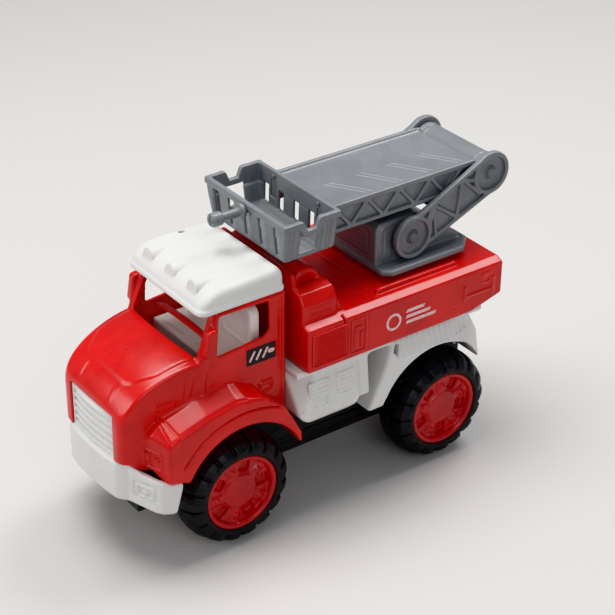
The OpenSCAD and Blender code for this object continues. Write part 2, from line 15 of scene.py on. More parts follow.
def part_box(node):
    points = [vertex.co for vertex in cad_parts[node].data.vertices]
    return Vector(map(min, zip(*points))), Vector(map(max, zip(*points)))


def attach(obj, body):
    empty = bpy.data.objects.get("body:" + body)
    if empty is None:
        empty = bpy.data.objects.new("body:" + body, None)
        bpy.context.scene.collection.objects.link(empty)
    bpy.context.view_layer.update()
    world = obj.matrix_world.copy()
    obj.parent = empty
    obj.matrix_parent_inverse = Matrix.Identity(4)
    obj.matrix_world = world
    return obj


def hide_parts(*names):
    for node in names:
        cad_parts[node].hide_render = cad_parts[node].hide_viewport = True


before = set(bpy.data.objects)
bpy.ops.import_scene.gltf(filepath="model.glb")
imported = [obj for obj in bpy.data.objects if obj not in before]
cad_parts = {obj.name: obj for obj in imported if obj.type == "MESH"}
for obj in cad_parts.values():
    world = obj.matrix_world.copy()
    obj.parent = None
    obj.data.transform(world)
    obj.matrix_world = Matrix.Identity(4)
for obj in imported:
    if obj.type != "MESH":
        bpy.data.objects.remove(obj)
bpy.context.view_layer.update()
MM = 0.001
FAR = 9.0
GRID = 0.5
FINE_GRID = 0.4

# ---------------------------------------------------------------- camera, floor and light


def make_camera():
    """The photograph's viewing direction: azimuth, elevation and a slight roll."""
    azimuth, elevation, roll = (math.radians(a) for a in (53.589, 30.426, 0.485))
    back = Vector((
        math.sin(azimuth) * math.cos(elevation),
        -math.cos(azimuth) * math.cos(elevation),
        math.sin(elevation),
    ))
    level = Vector((math.cos(azimuth), math.sin(azimuth), 0))
    above = level.cross(back) * -1
    across = level * math.cos(roll) + above * math.sin(roll)
    up = above * math.cos(roll) - level * math.sin(roll)
    data = bpy.data.cameras.new("Camera")
    data.sensor_width = 36
    data.lens = 104.85
    data.clip_start = 0.01
    data.clip_end = 50
    camera = bpy.data.objects.new("Camera", data)
    turn = Matrix((across, up, back)).transposed().to_4x4()
    camera.matrix_world = Matrix.Translation((0.6691, -0.4809, 0.5828)) @ turn
    bpy.context.scene.collection.objects.link(camera)
    bpy.context.scene.camera = camera


def make_floor():
    """A plain pale ground under the toy."""
    bpy.ops.mesh.primitive_plane_add(size=12, location=(0, 0, 0))
    floor = bpy.context.object
    floor.name = "Floor"
    mat = bpy.data.materials.new("Floor")
    mat.use_nodes = True
    shader = mat.node_tree.nodes["Principled BSDF"]
    shader.inputs["Base Color"].default_value = (0.60, 0.585, 0.57, 1)
    shader.inputs["Roughness"].default_value = 0.75
    floor.data.materials.append(mat)


def make_area_light(name, place, aim, size, watts, colour):
    data = bpy.data.lights.new(name, "AREA")
    data.shape = "DISK"
    data.size = size
    data.energy = watts
    data.color = colour
    light = bpy.data.objects.new(name, data)
    light.location = place
    light.rotation_mode = "QUATERNION"
    light.rotation_quaternion = (Vector(aim) - Vector(place)).to_track_quat("-Z", "Y")
    bpy.context.scene.collection.objects.link(light)


def make_lights():
    """Soft studio light: a large one overhead, a fill on the camera's side and a rim behind."""
    middle = (0, 0, 0.08)
    make_area_light("Overhead", (-0.25, -0.15, 1.25), middle, 0.8, 11.5, (1, 0.985, 0.96))
    make_area_light("Fill", (1.1, -0.35, 0.75), middle, 0.8, 3.6, (0.97, 0.985, 1))
    make_area_light("Front", (-0.5, -1.1, 0.6), middle, 0.7, 4.6, (1, 0.99, 0.97))
    make_area_light("Rim", (-0.12, 0.75, 1.2), middle, 0.7, 9, (1, 1, 1))
    world = bpy.data.worlds.new("World")
    world.use_nodes = True
    world.node_tree.nodes["Background"].inputs["Color"].default_value = (0.93, 0.95, 1, 1)
    world.node_tree.nodes["Background"].inputs["Strength"].default_value = 0.33
    bpy.context.scene.world = world
    bpy.context.scene.view_settings.view_transform = "Khronos PBR Neutral"


# ---------------------------------------------------------------- outlines and solids


class Shape:
    """A signed distance and the box that holds its inside. 2D for outlines, 3D for solids."""

    def __init__(self, fn, low, high):
        self.fn = fn
        self.low = tuple(low)
        self.high = tuple(high)

    def __or__(self, other):
        return Shape(
            lambda *p: np.minimum(self.fn(*p), other.fn(*p)),
            map(min, self.low, other.low),
            map(max, self.high, other.high),
        )

    def __sub__(self, other):
        return Shape(lambda *p: np.maximum(self.fn(*p), -other.fn(*p)), self.low, self.high)

    def __and__(self, other):
        return Shape(
            lambda *p: np.maximum(self.fn(*p), other.fn(*p)),
            map(max, self.low, other.low),
            map(min, self.high, other.high),
        )

    def grow(self, r):
        return Shape(
            lambda *p: self.fn(*p) - r,
            [v - r for v in self.low],
            [v + r for v in self.high],
        )

    def shell(self, inside, outside=0.0):
        """The layer from `inside` below the surface to `outside` above it."""
        return Shape(
            lambda *p: np.maximum(self.fn(*p) - outside, -inside - self.fn(*p)),
            [v - outside for v in self.low],
            [v + outside for v in self.high],
        )


def smooth_min(a, b, k):
    h = np.maximum(k - np.abs(a - b), 0) / k
    return np.minimum(a, b) - h * h * (k / 4)


def smooth_max(a, b, k):
    return -smooth_min(-a, -b, k)


def melt(a, b, k):
    """Union of two shapes with a fillet of about k between them."""
    return Shape(
        lambda *p: smooth_min(a.fn(*p), b.fn(*p), k),
        map(min, a.low, b.low),
        map(max, a.high, b.high),
    )


def common(a, b, k):
    """What two shapes share, its new edges rounded by about k."""
    return Shape(
        lambda *p: smooth_max(a.fn(*p), b.fn(*p), k),
        map(max, a.low, b.low),
        map(min, a.high, b.high),
    )


def poly(points, r=0.0):
    """An outline through the points, in order, grown by r, which rounds its corners."""
    pts = np.array(points, np.float32)

    def fn(u, v):
        best = None
        inside = None
        for (ax, ay), (bx, by) in zip(pts, np.roll(pts, -1, 0)):
            ex, ey = bx - ax, by - ay
            wx, wy = u - ax, v - ay
            t = np.clip((wx * ex + wy * ey) / max(ex * ex + ey * ey, 1e-9), 0, 1)
            dist = (wx - ex * t) ** 2 + (wy - ey * t) ** 2
            crosses = (ay <= v) != (by <= v)
            left = (ex * wy - ey * wx > 0) == (by > ay)
            flip = crosses & left
            best = dist if best is None else np.minimum(best, dist)
            inside = flip if inside is None else inside ^ flip
        return np.sqrt(best) * np.where(inside, -1, 1) - r

    return Shape(fn, pts.min(0) - r, pts.max(0) + r)


def rect(u0, v0, u1, v1, r=0.0):
    """A rectangle between two corners with its own corners rounded by r."""
    return poly([(u0 + r, v0 + r), (u1 - r, v0 + r), (u1 - r, v1 - r), (u0 + r, v1 - r)], r)


def both_sides(points):
    """A symmetric outline from the points of its right half, listed from the bottom up."""
    return [*points, *((-u, v) for u, v in reversed(points))]


def disc(u, v, r):
    return Shape(lambda a, b: np.hypot(a - u, b - v) - r, (u - r, v - r), (u + r, v + r))


def line(points, width):
    """A line of that width through the points, with round ends."""
    pts = np.array(points, np.float32)

    def fn(u, v):
        best = None
        for (ax, ay), (bx, by) in zip(pts[:-1], pts[1:]):
            ex, ey = bx - ax, by - ay
            t = np.clip(((u - ax) * ex + (v - ay) * ey) / max(ex * ex + ey * ey, 1e-9), 0, 1)
            dist = (u - ax - ex * t) ** 2 + (v - ay - ey * t) ** 2
            best = dist if best is None else np.minimum(best, dist)
        return np.sqrt(best) - width / 2

    return Shape(fn, pts.min(0) - width / 2, pts.max(0) + width / 2)


def slab(flat, along, r):
    """Distance of an extrusion: `flat` is the outline's, `along` the signed distance past the ends."""
    if r <= 0:
        return np.maximum(flat, along)
    a, b = flat + r, along + r
    return np.hypot(np.maximum(a, 0), np.maximum(b, 0)) + np.minimum(np.maximum(a, b), 0) - r


def along_x(outline, x0, x1, r=0.0):
    """Extrudes an outline of (y, z) from x0 to x1; r rounds the two end edges."""
    mid, half = (x0 + x1) / 2, (x1 - x0) / 2
    (u0, v0), (u1, v1) = outline.low, outline.high
    return Shape(
        lambda x, y, z: slab(outline.fn(y, z), np.abs(x - mid) - half, r),
        (x0, u0, v0),
        (x1, u1, v1),
    )


def along_y(outline, y0, y1, r=0.0):
    """Extrudes an outline of (x, z) from y0 to y1."""
    mid, half = (y0 + y1) / 2, (y1 - y0) / 2
    (u0, v0), (u1, v1) = outline.low, outline.high
    return Shape(
        lambda x, y, z: slab(outline.fn(x, z), np.abs(y - mid) - half, r),
        (u0, y0, v0),
        (u1, y1, v1),
    )


def along_z(outline, z0, z1, r=0.0):
    """Extrudes an outline of (x, y) from z0 to z1."""
    mid, half = (z0 + z1) / 2, (z1 - z0) / 2
    (u0, v0), (u1, v1) = outline.low, outline.high
    return Shape(
        lambda x, y, z: slab(outline.fn(x, y), np.abs(z - mid) - half, r),
        (u0, v0, z0),
        (u1, v1, z1),
    )


def box(low, high, r=0.0):
    (x0, y0, z0), (x1, y1, z1) = low, high
    return along_z(rect(x0, y0, x1, y1, r), z0, z1, r)


def turned_x(outline, y, z):
    """Spins an outline of (radius, x) about an axis along X through (y, z)."""
    x0 = outline.low[1]
    r1, x1 = outline.high
    return Shape(
        lambda X, Y, Z: outline.fn(np.hypot(Y - y, Z - z), X),
        (x0, y - r1, z - r1),
        (x1, y + r1, z + r1),
    )


def bar_x(radius, x0, x1, y, z, r=0.0):
    return along_x(disc(y, z, radius), x0, x1, r)


def moved(shape, turn, place):
    """A solid drawn at the origin, turned by the matrix and then put at place."""
    m = np.array(turn, np.float32)
    corners = np.array(
        [[(shape.low, shape.high)[i >> k & 1][k] for k in range(3)] for i in range(8)], float
    )
    corners = corners @ m.T + np.array(place)

    def fn(x, y, z):
        a, b, c = x - place[0], y - place[1], z - place[2]
        return shape.fn(*(m[0, i] * a + m[1, i] * b + m[2, i] * c for i in range(3)))

    return Shape(fn, corners.min(0), corners.max(0))


def turn_about(axis, degrees):
    return np.array(Matrix.Rotation(math.radians(degrees), 3, axis))


class Field:
    """A grid of distances that solids are added to and cut from, in order."""

    def __init__(self, low, high, step=None, mirrored=False):
        self.step = step or GRID
        self.mirrored = mirrored
        start = [0 if mirrored and i == 0 else math.floor(low[i] / self.step) - 3 for i in range(3)]
        stop = [math.ceil(high[i] / self.step) + 4 for i in range(3)]
        self.start = start
        self.axes = [np.arange(a, b, dtype=np.float32) * self.step for a, b in zip(start, stop)]
        self.d = np.full([len(a) for a in self.axes], FAR, np.float32)

    def window(self, shape):
        spans = []
        for axis, lo, hi in zip(self.axes, shape.low, shape.high):
            a = int(np.searchsorted(axis, lo - 2.5))
            b = int(np.searchsorted(axis, hi + 2.5))
            spans.append(slice(a, b))
        x, y, z = (axis[s] for axis, s in zip(self.axes, spans))
        return tuple(spans), (x[:, None, None], y[None, :, None], z[None, None, :])

    def change(self, shape, fn):
        spans, points = self.window(shape)
        if all(s.stop > s.start for s in spans):
            self.d[spans] = fn(self.d[spans], shape.fn(*points))
        return self

    def add(self, *shapes, k=0.0):
        for s in shapes:
            self.change(s, (lambda a, b: smooth_min(a, b, k)) if k else np.minimum)
        return self

    def cut(self, *shapes, k=0.0):
        for s in shapes:
            fn = (lambda a, b: smooth_max(a, -b, k)) if k else (lambda a, b: np.maximum(a, -b))
            self.change(s, fn)
        return self

    def keep(self, shape):
        points = (self.axes[0][:, None, None], self.axes[1][None, :, None], self.axes[2][None, None, :])
        self.d = np.maximum(self.d, shape.fn(*points))
        return self

    def unfold(self):
        """Mirrors the half grid to the other side of the truck."""
        if self.mirrored:
            self.d = np.concatenate([self.d[:0:-1], self.d])
            self.axes[0] = np.concatenate([-self.axes[0][:0:-1], self.axes[0]])
            self.start[0] = -(len(self.axes[0]) // 2)
            self.mirrored = False
        return self

    def soften(self, passes):
        for _ in range(passes):
            for axis in range(3):
                d = np.moveaxis(self.d, axis, 0)
                out = d * 0.5
                out[1:] += d[:-1] * 0.25
                out[:-1] += d[1:] * 0.25
                out[0] += d[0] * 0.25
                out[-1] += d[-1] * 0.25
                self.d = np.moveaxis(out, 0, axis)
        return self

    def mesh(self, name, soft=1):
        """The surface as a mesh in metres, with normals taken from the distances."""
        self.unfold()
        self.d = np.clip(self.d, -3 * self.step, 3 * self.step)
        self.soften(soft)
        grid = vdb.FloatGrid()
        grid.background = 3 * self.step
        grid.copyFromArray(np.ascontiguousarray(self.d))
        points, triangles, quads = grid.convertToPolygons(isovalue=0.0, adaptivity=0.0)
        normals = self.normals(points)
        places = (points + np.array(self.start)) * (self.step * MM)
        return mesh_from_arrays(name, places, triangles, quads, normals)

    def normals(self, points):
        """The gradient of the distances at each point, from differences across one cell."""
        out = np.empty_like(points)
        for axis in range(3):
            shift = np.zeros(3, np.float32)
            shift[axis] = 0.75
            out[:, axis] = self.sample(points + shift) - self.sample(points - shift)
        size = np.linalg.norm(out, axis=1, keepdims=True)
        return out / np.maximum(size, 1e-9)

    def sample(self, points):
        top = np.array(self.d.shape) - 1.001
        p = np.clip(points, 0, top)
        i = p.astype(np.int32)
        f = p - i
        total = 0
        for corner in range(8):
            c = [corner >> k & 1 for k in range(3)]
            weight = np.prod([f[:, k] if c[k] else 1 - f[:, k] for k in range(3)], axis=0)
            total = total + weight * self.d[i[:, 0] + c[0], i[:, 1] + c[1], i[:, 2] + c[2]]
        return total


def mesh_from_arrays(name, points, triangles, quads, normals):
    mesh = bpy.data.meshes.new(name)
    mesh.vertices.add(len(points))
    mesh.vertices.foreach_set("co", np.asarray(points, np.float32).ravel())
    corners = np.concatenate([quads.ravel(), triangles.ravel()]).astype(np.int32)
    mesh.loops.add(len(corners))
    mesh.loops.foreach_set("vertex_index", corners)
    sizes = np.concatenate([np.full(len(quads), 4), np.full(len(triangles), 3)])
    starts = np.concatenate([[0], np.cumsum(sizes)[:-1]]).astype(np.int32)
    mesh.polygons.add(len(sizes))
    mesh.polygons.foreach_set("loop_start", starts)
    mesh.update(calc_edges=True)
    mesh.polygons.foreach_set("use_smooth", np.ones(len(sizes), bool))
    mesh.normals_split_custom_set_from_vertices(normals)
    return mesh


def place(mesh, name, body, material, slot, *nodes):
    """Puts a finished mesh in the scene as the piece that stands for the nodes."""
    piece = bpy.data.objects.new(name, mesh)
    bpy.context.scene.collection.objects.link(piece)
    mesh.materials.clear()
    mesh.materials.append(material)
    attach(piece, body)
    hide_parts(*nodes)
    return piece


# ---------------------------------------------------------------- materials


def new_material(name):
    mat = bpy.data.materials.new(name)
    mat.use_nodes = True
    return mat, mat.node_tree, mat.node_tree.nodes["Principled BSDF"]


def add_node(tree, kind, **inputs):
    node = tree.nodes.new(kind)
    for key, value in inputs.items():
        node.inputs[key.replace("_", " ")].default_value = value
    return node


def ramp(tree, source, stops):
    """A colour ramp fed by source; stops are (position, colour) pairs."""
    node = tree.nodes.new("ShaderNodeValToRGB")
    elements = node.color_ramp.elements
    while len(elements) < len(stops):
        elements.new(0.5)
    for element, (at, colour) in zip(elements, stops):
        element.position = at
        element.color = (*colour, 1)
    tree.links.new(source, node.inputs["Fac"])
    return node


def mix_colour(tree, factor, a, b, mode="MIX"):
    node = tree.nodes.new("ShaderNodeMix")
    node.data_type = "RGBA"
    node.blend_type = mode
    for socket, value in ((node.inputs["Factor"], factor), (node.inputs[6], a), (node.inputs[7], b)):
        if isinstance(value, bpy.types.NodeSocket):
            tree.links.new(value, socket)
        elif isinstance(value, tuple):
            socket.default_value = (*value, 1)
        else:
            socket.default_value = value
    return node.outputs[2]


def noise(tree, coords, scale, detail=3.0, rough=0.55):
    node = add_node(tree, "ShaderNodeTexNoise", Scale=scale, Detail=detail, Roughness=rough)
    tree.links.new(coords, node.inputs["Vector"])
    return node.outputs["Fac"]


def map_range(tree, source, a, b, lo, hi):
    node = tree.nodes.new("ShaderNodeMapRange")
    for key, value in (("From Min", a), ("From Max", b), ("To Min", lo), ("To Max", hi)):
        node.inputs[key].default_value = value
    tree.links.new(source, node.inputs["Value"])
    return node.outputs["Result"]


def scuff_mask(tree, coords, centre, radius, scale, level):
    """Rubbed marks within a radius of one spot, thinning out towards its edge."""
    gap = tree.nodes.new("ShaderNodeVectorMath")
    gap.operation = "DISTANCE"
    gap.inputs[1].default_value = centre
    tree.links.new(coords, gap.inputs[0])
    marks = map_range(tree, noise(tree, coords, scale, 5, 0.75), level, level + 0.05, 0.0, 0.8)
    near = map_range(tree, gap.outputs["Value"], radius * 0.4, radius, 1.0, 0.0)
    both = tree.nodes.new("ShaderNodeMath")
    both.operation = "MULTIPLY"
    tree.links.new(marks, both.inputs[0])
    tree.links.new(near, both.inputs[1])
    return both.outputs[0]


def moulded(name, colour, worn, shade, rough, coat, grain, wear=0.35, specks=None, scuff=None):
    """Injection-moulded plastic: cloudy tint, paler rubbed edges, uneven gloss, fine mould grain."""
    mat, tree, shader = new_material(name)
    coords = tree.nodes.new("ShaderNodeTexCoord").outputs["Object"]
    cloud = noise(tree, coords, 38, 2)
    fine = noise(tree, coords, 900, 2)
    handling = noise(tree, coords, 150, 5, 0.7)
    base = ramp(tree, cloud, [(0.3, shade), (0.62, colour)]).outputs["Color"]
    pointiness = tree.nodes.new("ShaderNodeNewGeometry").outputs["Pointiness"]
    edge = map_range(tree, pointiness, 0.53, 0.6, 0.0, wear)
    base = mix_colour(tree, edge, base, worn)
    if specks:
        dots = noise(tree, coords, specks[1], 4, 0.75)
        base = mix_colour(tree, map_range(tree, dots, 0.80, 0.84, 0.0, 0.7), base, specks[0])
    if scuff:
        base = mix_colour(tree, scuff_mask(tree, coords, *scuff[1:]), base, scuff[0])
    tree.links.new(base, shader.inputs["Base Color"])
    tree.links.new(map_range(tree, handling, 0.3, 0.7, rough[0], rough[1]), shader.inputs["Roughness"])
    shader.inputs["Coat Weight"].default_value = coat
    shader.inputs["Coat Roughness"].default_value = 0.18
    shader.inputs["IOR"].default_value = 1.49
    bump = add_node(tree, "ShaderNodeBump", Strength=grain, Distance=0.0002)
    height = tree.nodes.new("ShaderNodeMath")
    height.operation = "MULTIPLY_ADD"
    height.inputs[1].default_value = 0.35
    tree.links.new(fine, height.inputs[0])
    tree.links.new(handling, height.inputs[2])
    tree.links.new(height.outputs[0], bump.inputs["Height"])
    tree.links.new(bump.outputs["Normal"], shader.inputs["Normal"])
    return mat


def metal(name, colour):
    """Bright plated steel with faint turning marks and dull patches."""
    mat, tree, shader = new_material(name)
    coords = tree.nodes.new("ShaderNodeTexCoord").outputs["Object"]
    patches = noise(tree, coords, 260, 4)
    shades = ramp(tree, patches, [(0.3, tuple(c * 0.72 for c in colour)), (0.7, colour)])
    tree.links.new(shades.outputs["Color"], shader.inputs["Base Color"])
    tree.links.new(map_range(tree, patches, 0.3, 0.7, 0.42, 0.22), shader.inputs["Roughness"])
    shader.inputs["Metallic"].default_value = 1
    bump = add_node(tree, "ShaderNodeBump", Strength=0.25, Distance=0.0001)
    tree.links.new(noise(tree, coords, 1500, 2), bump.inputs["Height"])
    tree.links.new(bump.outputs["Normal"], shader.inputs["Normal"])
    return mat


def printed(name, colour, backing, rough, cover):
    """Ink or film with small gaps where it has worn through to what is under it."""
    mat, tree, shader = new_material(name)
    coords = tree.nodes.new("ShaderNodeTexCoord").outputs["Object"]
    gaps = map_range(tree, noise(tree, coords, 1300, 4, 0.7), cover, cover + 0.06, 0.0, 1.0)
    tree.links.new(mix_colour(tree, gaps, colour, backing), shader.inputs["Base Color"])
    tree.links.new(map_range(tree, noise(tree, coords, 300), 0.3, 0.7, *rough), shader.inputs["Roughness"])
    bump = add_node(tree, "ShaderNodeBump", Strength=0.15, Distance=0.0001)
    tree.links.new(noise(tree, coords, 1100, 2), bump.inputs["Height"])
    tree.links.new(bump.outputs["Normal"], shader.inputs["Normal"])
    return mat


RED = (0.66, 0.012, 0.010)
WHITE = (0.70, 0.697, 0.682)
GREY = (0.205, 0.217, 0.230)
BLACK = (0.012, 0.012, 0.013)


def make_materials():
    return {
        "red": moulded("Red plastic", RED, (0.86, 0.075, 0.055), (0.52, 0.008, 0.008),
                       (0.26, 0.38), 0.35, 0.10, specks=((0.05, 0.012, 0.012), 210)),
        "cab": moulded("Cab red plastic", RED, (0.86, 0.075, 0.055), (0.52, 0.008, 0.008), (0.26, 0.38), 0.35,
                       0.10,
                       scuff=((0.10, 0.012, 0.012), (0.004, -0.110, 0.104), 0.024, 420, 0.60)),
        "step": moulded("Step white plastic", WHITE, (0.93, 0.93, 0.92), (0.70, 0.695, 0.68), (0.36, 0.5),
                        0.1, 0.16,
                        scuff=((0.50, 0.48, 0.44), (0.047, -0.006, 0.071), 0.024, 380, 0.585)),
        "rim": moulded("Rim red plastic", (0.50, 0.010, 0.011), (0.78, 0.05, 0.04), (0.38, 0.006, 0.008),
                       (0.22, 0.34), 0.4, 0.08),
        "white": moulded("White plastic", WHITE, (0.93, 0.93, 0.92), (0.74, 0.735, 0.72),
                         (0.34, 0.5), 0.12, 0.14, specks=((0.45, 0.42, 0.38), 330)),
        # the white seat plastic is coloured pink here: a painted reflection of the red cab walls, not the
        # plastic's own colour
        "seat": moulded("Seat plastic with painted red reflection", (0.80, 0.73, 0.70), (0.9, 0.86, 0.84), (0.72, 0.64, 0.61),
                        (0.38, 0.5), 0.05, 0.12),
        "grey": moulded("Grey plastic", GREY, (0.36, 0.375, 0.39), (0.175, 0.186, 0.198),
                        (0.3, 0.44), 0.22, 0.13, specks=((0.3, 0.3, 0.3), 300)),
        "dark_grey": moulded("Pin plastic", (0.16, 0.168, 0.176), (0.27, 0.27, 0.28), (0.13, 0.137, 0.145),
                             (0.34, 0.46), 0.1, 0.12),
        "black": moulded("Chassis plastic", (0.016, 0.016, 0.017), (0.07, 0.07, 0.07), (0.01, 0.01, 0.011),
                         (0.42, 0.6), 0.0, 0.3, specks=((0.09, 0.085, 0.08), 260)),
        "tyre": moulded("Tyre plastic", BLACK, (0.05, 0.05, 0.052), (0.007, 0.007, 0.008),
                        (0.36, 0.55), 0.06, 0.16, wear=0.2, specks=((0.10, 0.095, 0.09), 240)),
        "steel": metal("Plated steel", (0.66, 0.66, 0.67)),
        "film": printed("Door plate film", (0.016, 0.015, 0.018), (0.07, 0.065, 0.07), (0.3, 0.45), 0.62),
        "print": printed("Pale print", (0.86, 0.60, 0.60), (0.60, 0.05, 0.05), (0.42, 0.55), 0.56),
    }


# ---------------------------------------------------------------- wheels


def node_box(node):
    """A CAD node's lowest and highest corner, in millimetres."""
    low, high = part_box(node)
    return np.array(low) / MM, np.array(high) / MM


def angle_cells(y, z, count, shift=0.0):
    """Signed arc distance to the nearest of `count` evenly spaced rays, in the radius's unit."""
    pitch = 2 * math.pi / count
    angle = np.arctan2(z, y) / pitch + shift
    return (angle - np.round(angle)) * pitch * np.hypot(y, z)


def tyre_mesh(roll):
    """Rounded tyre about the X axis, its outer face towards +X, with staggered shoulder slots."""
    low, high = node_box("front_left_tyre")
    outer, half = (high[2] - low[2]) / 2, (high[0] - low[0]) / 2
    rim_low, rim_high = node_box("front_left_rim")
    inner = (rim_high[2] - rim_low[2]) / 2 - 0.3
    lugs = 17
    edge = [(inner, half - 0.7), (inner + 1.2, half), (26.2, half - 0.5), (29.3, half - 2.6),
            (31.0, half - 6.4), (outer - 0.35, half - 9), (outer - 0.1, 0)]
    ring = poly(edge + [(r, -x) for r, x in edge[-2::-1]])
    body = turned_x(ring, 0, 0)

    def slots(side):
        def fn(x, y, z):
            lean = np.clip(half - side * x, 0, 12) * 0.16
            arc = angle_cells(y, z, lugs, 0.25 * side + roll) - lean
            surface = ring.fn(np.hypot(y, z), x)
            slit = np.maximum(np.abs(arc) - 0.75, -(surface + 2.0))
            step = np.maximum(np.maximum(-arc, arc - 5.5), -(surface + 0.9 - 0.16 * arc))
            reach = np.maximum(side * -x + 1.2, 24.6 - np.hypot(y, z))
            return np.maximum(np.minimum(slit, step), reach)
        return Shape(fn, (-half, -outer, -outer), (half, outer, outer))

    def pads(x, y, z):
        """Small moulded blocks on the side wall between the slots."""
        arc = angle_cells(y, z, lugs, 0.75 + roll)
        r = np.hypot(y, z)
        return np.maximum(np.maximum(np.abs(arc) - 1.4, np.abs(r - 25.2) - 0.7), np.abs(x - half + 0.6) - 0.5)

    field = Field((-half, -outer, -outer), (half, outer, outer))
    field.add(body).cut(slots(1), slots(-1), k=0.5)
    field.add(Shape(pads, (half - 2, -28, -28), (half, 28, 28)), k=0.4)
    return field.mesh("Tyre", 1)


def rim_mesh(roll):
    """Dished rim about the X axis: wide lip, five studs on spokes, five pockets, a raised centre."""
    low, high = node_box("front_left_rim")
    radius = (high[2] - low[2]) / 2
    half = 12.7
    face = high[0] - node_box("front_left_tyre")[0][0] - half
    floor = face - 3.6
    ring = poly([(radius - 3.2, -face + 1), (radius - 0.4, -face + 1), (radius - 0.4, face - 1.4),
                 (radius - 0.1, face - 1.1), (radius - 0.3, face - 0.2), (radius - 1.0, face),
                 (radius - 2.3, face - 0.25), (radius - 3.0, face - 1.1), (radius - 3.4, floor)])
    centre = poly([(0, -10), (5.8, -10), (6, floor - 4), (radius - 3, floor - 3.4),
                   (radius - 3, floor), (10.4, floor + 0.5), (9.7, floor + 1.5), (8.6, floor + 1.75),
                   (0, floor + 1.65)])
    field = Field((-face, -radius, -radius), (face, radius, radius))
    field.add(turned_x(ring, 0, 0)).add(turned_x(centre, 0, 0), k=0.8)
    for i in range(5):
        turn = turn_about("X", 72 * i + roll)
        spoke = box((floor - 1, 8, -2.8), (floor + 1.3, radius - 3, 2.8), 0.6)
        stud = melt(bar_x(2.1, floor, floor + 1.9, 14.3, 0, 0.8),
                    bar_x(1.2, floor, floor + 2.6, 14.3, 0, 0.5), 0.6)
        field.add(moved(spoke, turn, (0, 0, 0)), k=0.9)
        field.add(moved(stud, turn, (0, 0, 0)), k=0.5)
        pocket = box((floor - 2.4, 11.4, -3.1), (floor + 3, 17.9, 3.1), 0.7)
        field.cut(moved(pocket, turn_about("X", 72 * i + 36 + roll), (0, 0, 0)), k=0.6)
    field.cut(bar_x(1.98, -face - 1, floor - 0.5, 0, 0))
    return field.mesh("Rim", 1)


def make_wheels(mats):
    for end, body, lug_shift, spoke_turn in (("front", "front_wheels", 0.1, 40),
                                             ("rear", "rear_wheels", 0.45, 22)):
        tyre, rim = tyre_mesh(lug_shift), rim_mesh(spoke_turn)
        for side, way in (("left", 1), ("right", -1)):
            low, high = node_box(f"{end}_{side}_tyre")
            middle = Vector((low + high) / 2) * MM
            spin = Matrix.Rotation(0 if way > 0 else math.pi, 4, "Z")
            for mesh, kind, mat, slot in ((tyre, "tyre", "tyre", "tyre"), (rim, "rim", "rim", "red_plastic")):
                name = f"{end}_{side}_{kind}"
                piece = bpy.data.objects.new("Wheel_" + name, mesh)
                bpy.context.scene.collection.objects.link(piece)
                piece.matrix_world = Matrix.Translation(middle) @ spin
                if not mesh.materials:
                    mesh.materials.append(mats[mat])
                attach(piece, body)
                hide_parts(name)


# ---------------------------------------------------------------- cab

HOOD_FRONT_Y = -122.6
COWL_Y = -78.0
HOOD_FRONT_HALF = 29.3
CAB_HALF = 35.0
CAB_REAR_Y = -26.5
ROOF_Z = 134.7
WALL = 2.0


def hood_top(x, y):
    """Bonnet skin at y: its height, its slope and its half width. Steep by the nose, flat at the cowl."""
    u = np.clip((COWL_Y - y) / (COWL_Y - HOOD_FRONT_Y), -0.1, 1.05)
    half = HOOD_FRONT_HALF + 5.2 * (1 - u)
    ridge = 112.2 - 15.6 * u ** 2 - 7.6 * np.maximum(u, 0) ** 8
    slope = (31.2 * u + 60.8 * np.maximum(u, 0) ** 7) / (COWL_Y - HOOD_FRONT_Y)
    return ridge - 2.8 * (x / half) ** 2, slope, half


def hood(inset):
    def fn(x, y, z):
        top, slope, half = hood_top(x, y)
        plan = smooth_max(np.abs(x) - half + inset, HOOD_FRONT_Y + inset - y, 6.5)
        d = smooth_max(plan, (z - top) / np.sqrt(1 + slope ** 2) + inset, 1.8)
        return np.maximum(np.maximum(d, 55 - z), y + 76)
    return Shape(fn, (-36, HOOD_FRONT_Y, 55), (36, -76, 113))


def on_hood(outline, lift, k=0.8):
    """A raised patch of the bonnet: the (x, y) outline, standing `lift` above the skin."""
    def fn(x, y, z):
        top = hood_top(x, y)[0]
        return smooth_max(outline.fn(x, y), np.abs(z - top) - lift, k)
    (x0, y0), (x1, y1) = outline.low, outline.high
    return Shape(fn, (x0, y0, 85), (x1, y1, 114))


FENDER = [(-113, 52.6), (-113, 68.5), (-104, 77.4), (-82, 84), (-64, 87.3), (-48, 84.3), (-34, 72.5),
          (-26, 57), (-22.4, 49.5), (-26.4, 48.2), (-60, 58), (-95, 50.5)]
ARCH = (-60.0, 34.0, 37.3)


def fender(x_in, x_out):
    """The wheel cover: its crown climbs inwards to the bonnet, its front face turns to the side."""
    outline = poly(FENDER)

    def fn(x, y, z):
        lift = np.clip(46.8 - np.abs(x), 0, 12) * 0.5 * np.clip((-43 - y) / 16, 0.06, 1)
        side = np.abs(np.abs(x) - (x_in + x_out) / 2) - (x_out - x_in) / 2
        front = -106.0 - y + (np.abs(x) - 45) * 0.333
        return smooth_max(smooth_max(outline.fn(y, z - lift), side, 1.8), front, 1.6)
    return Shape(fn, (x_in, -113, 48), (x_out, -22, 96))


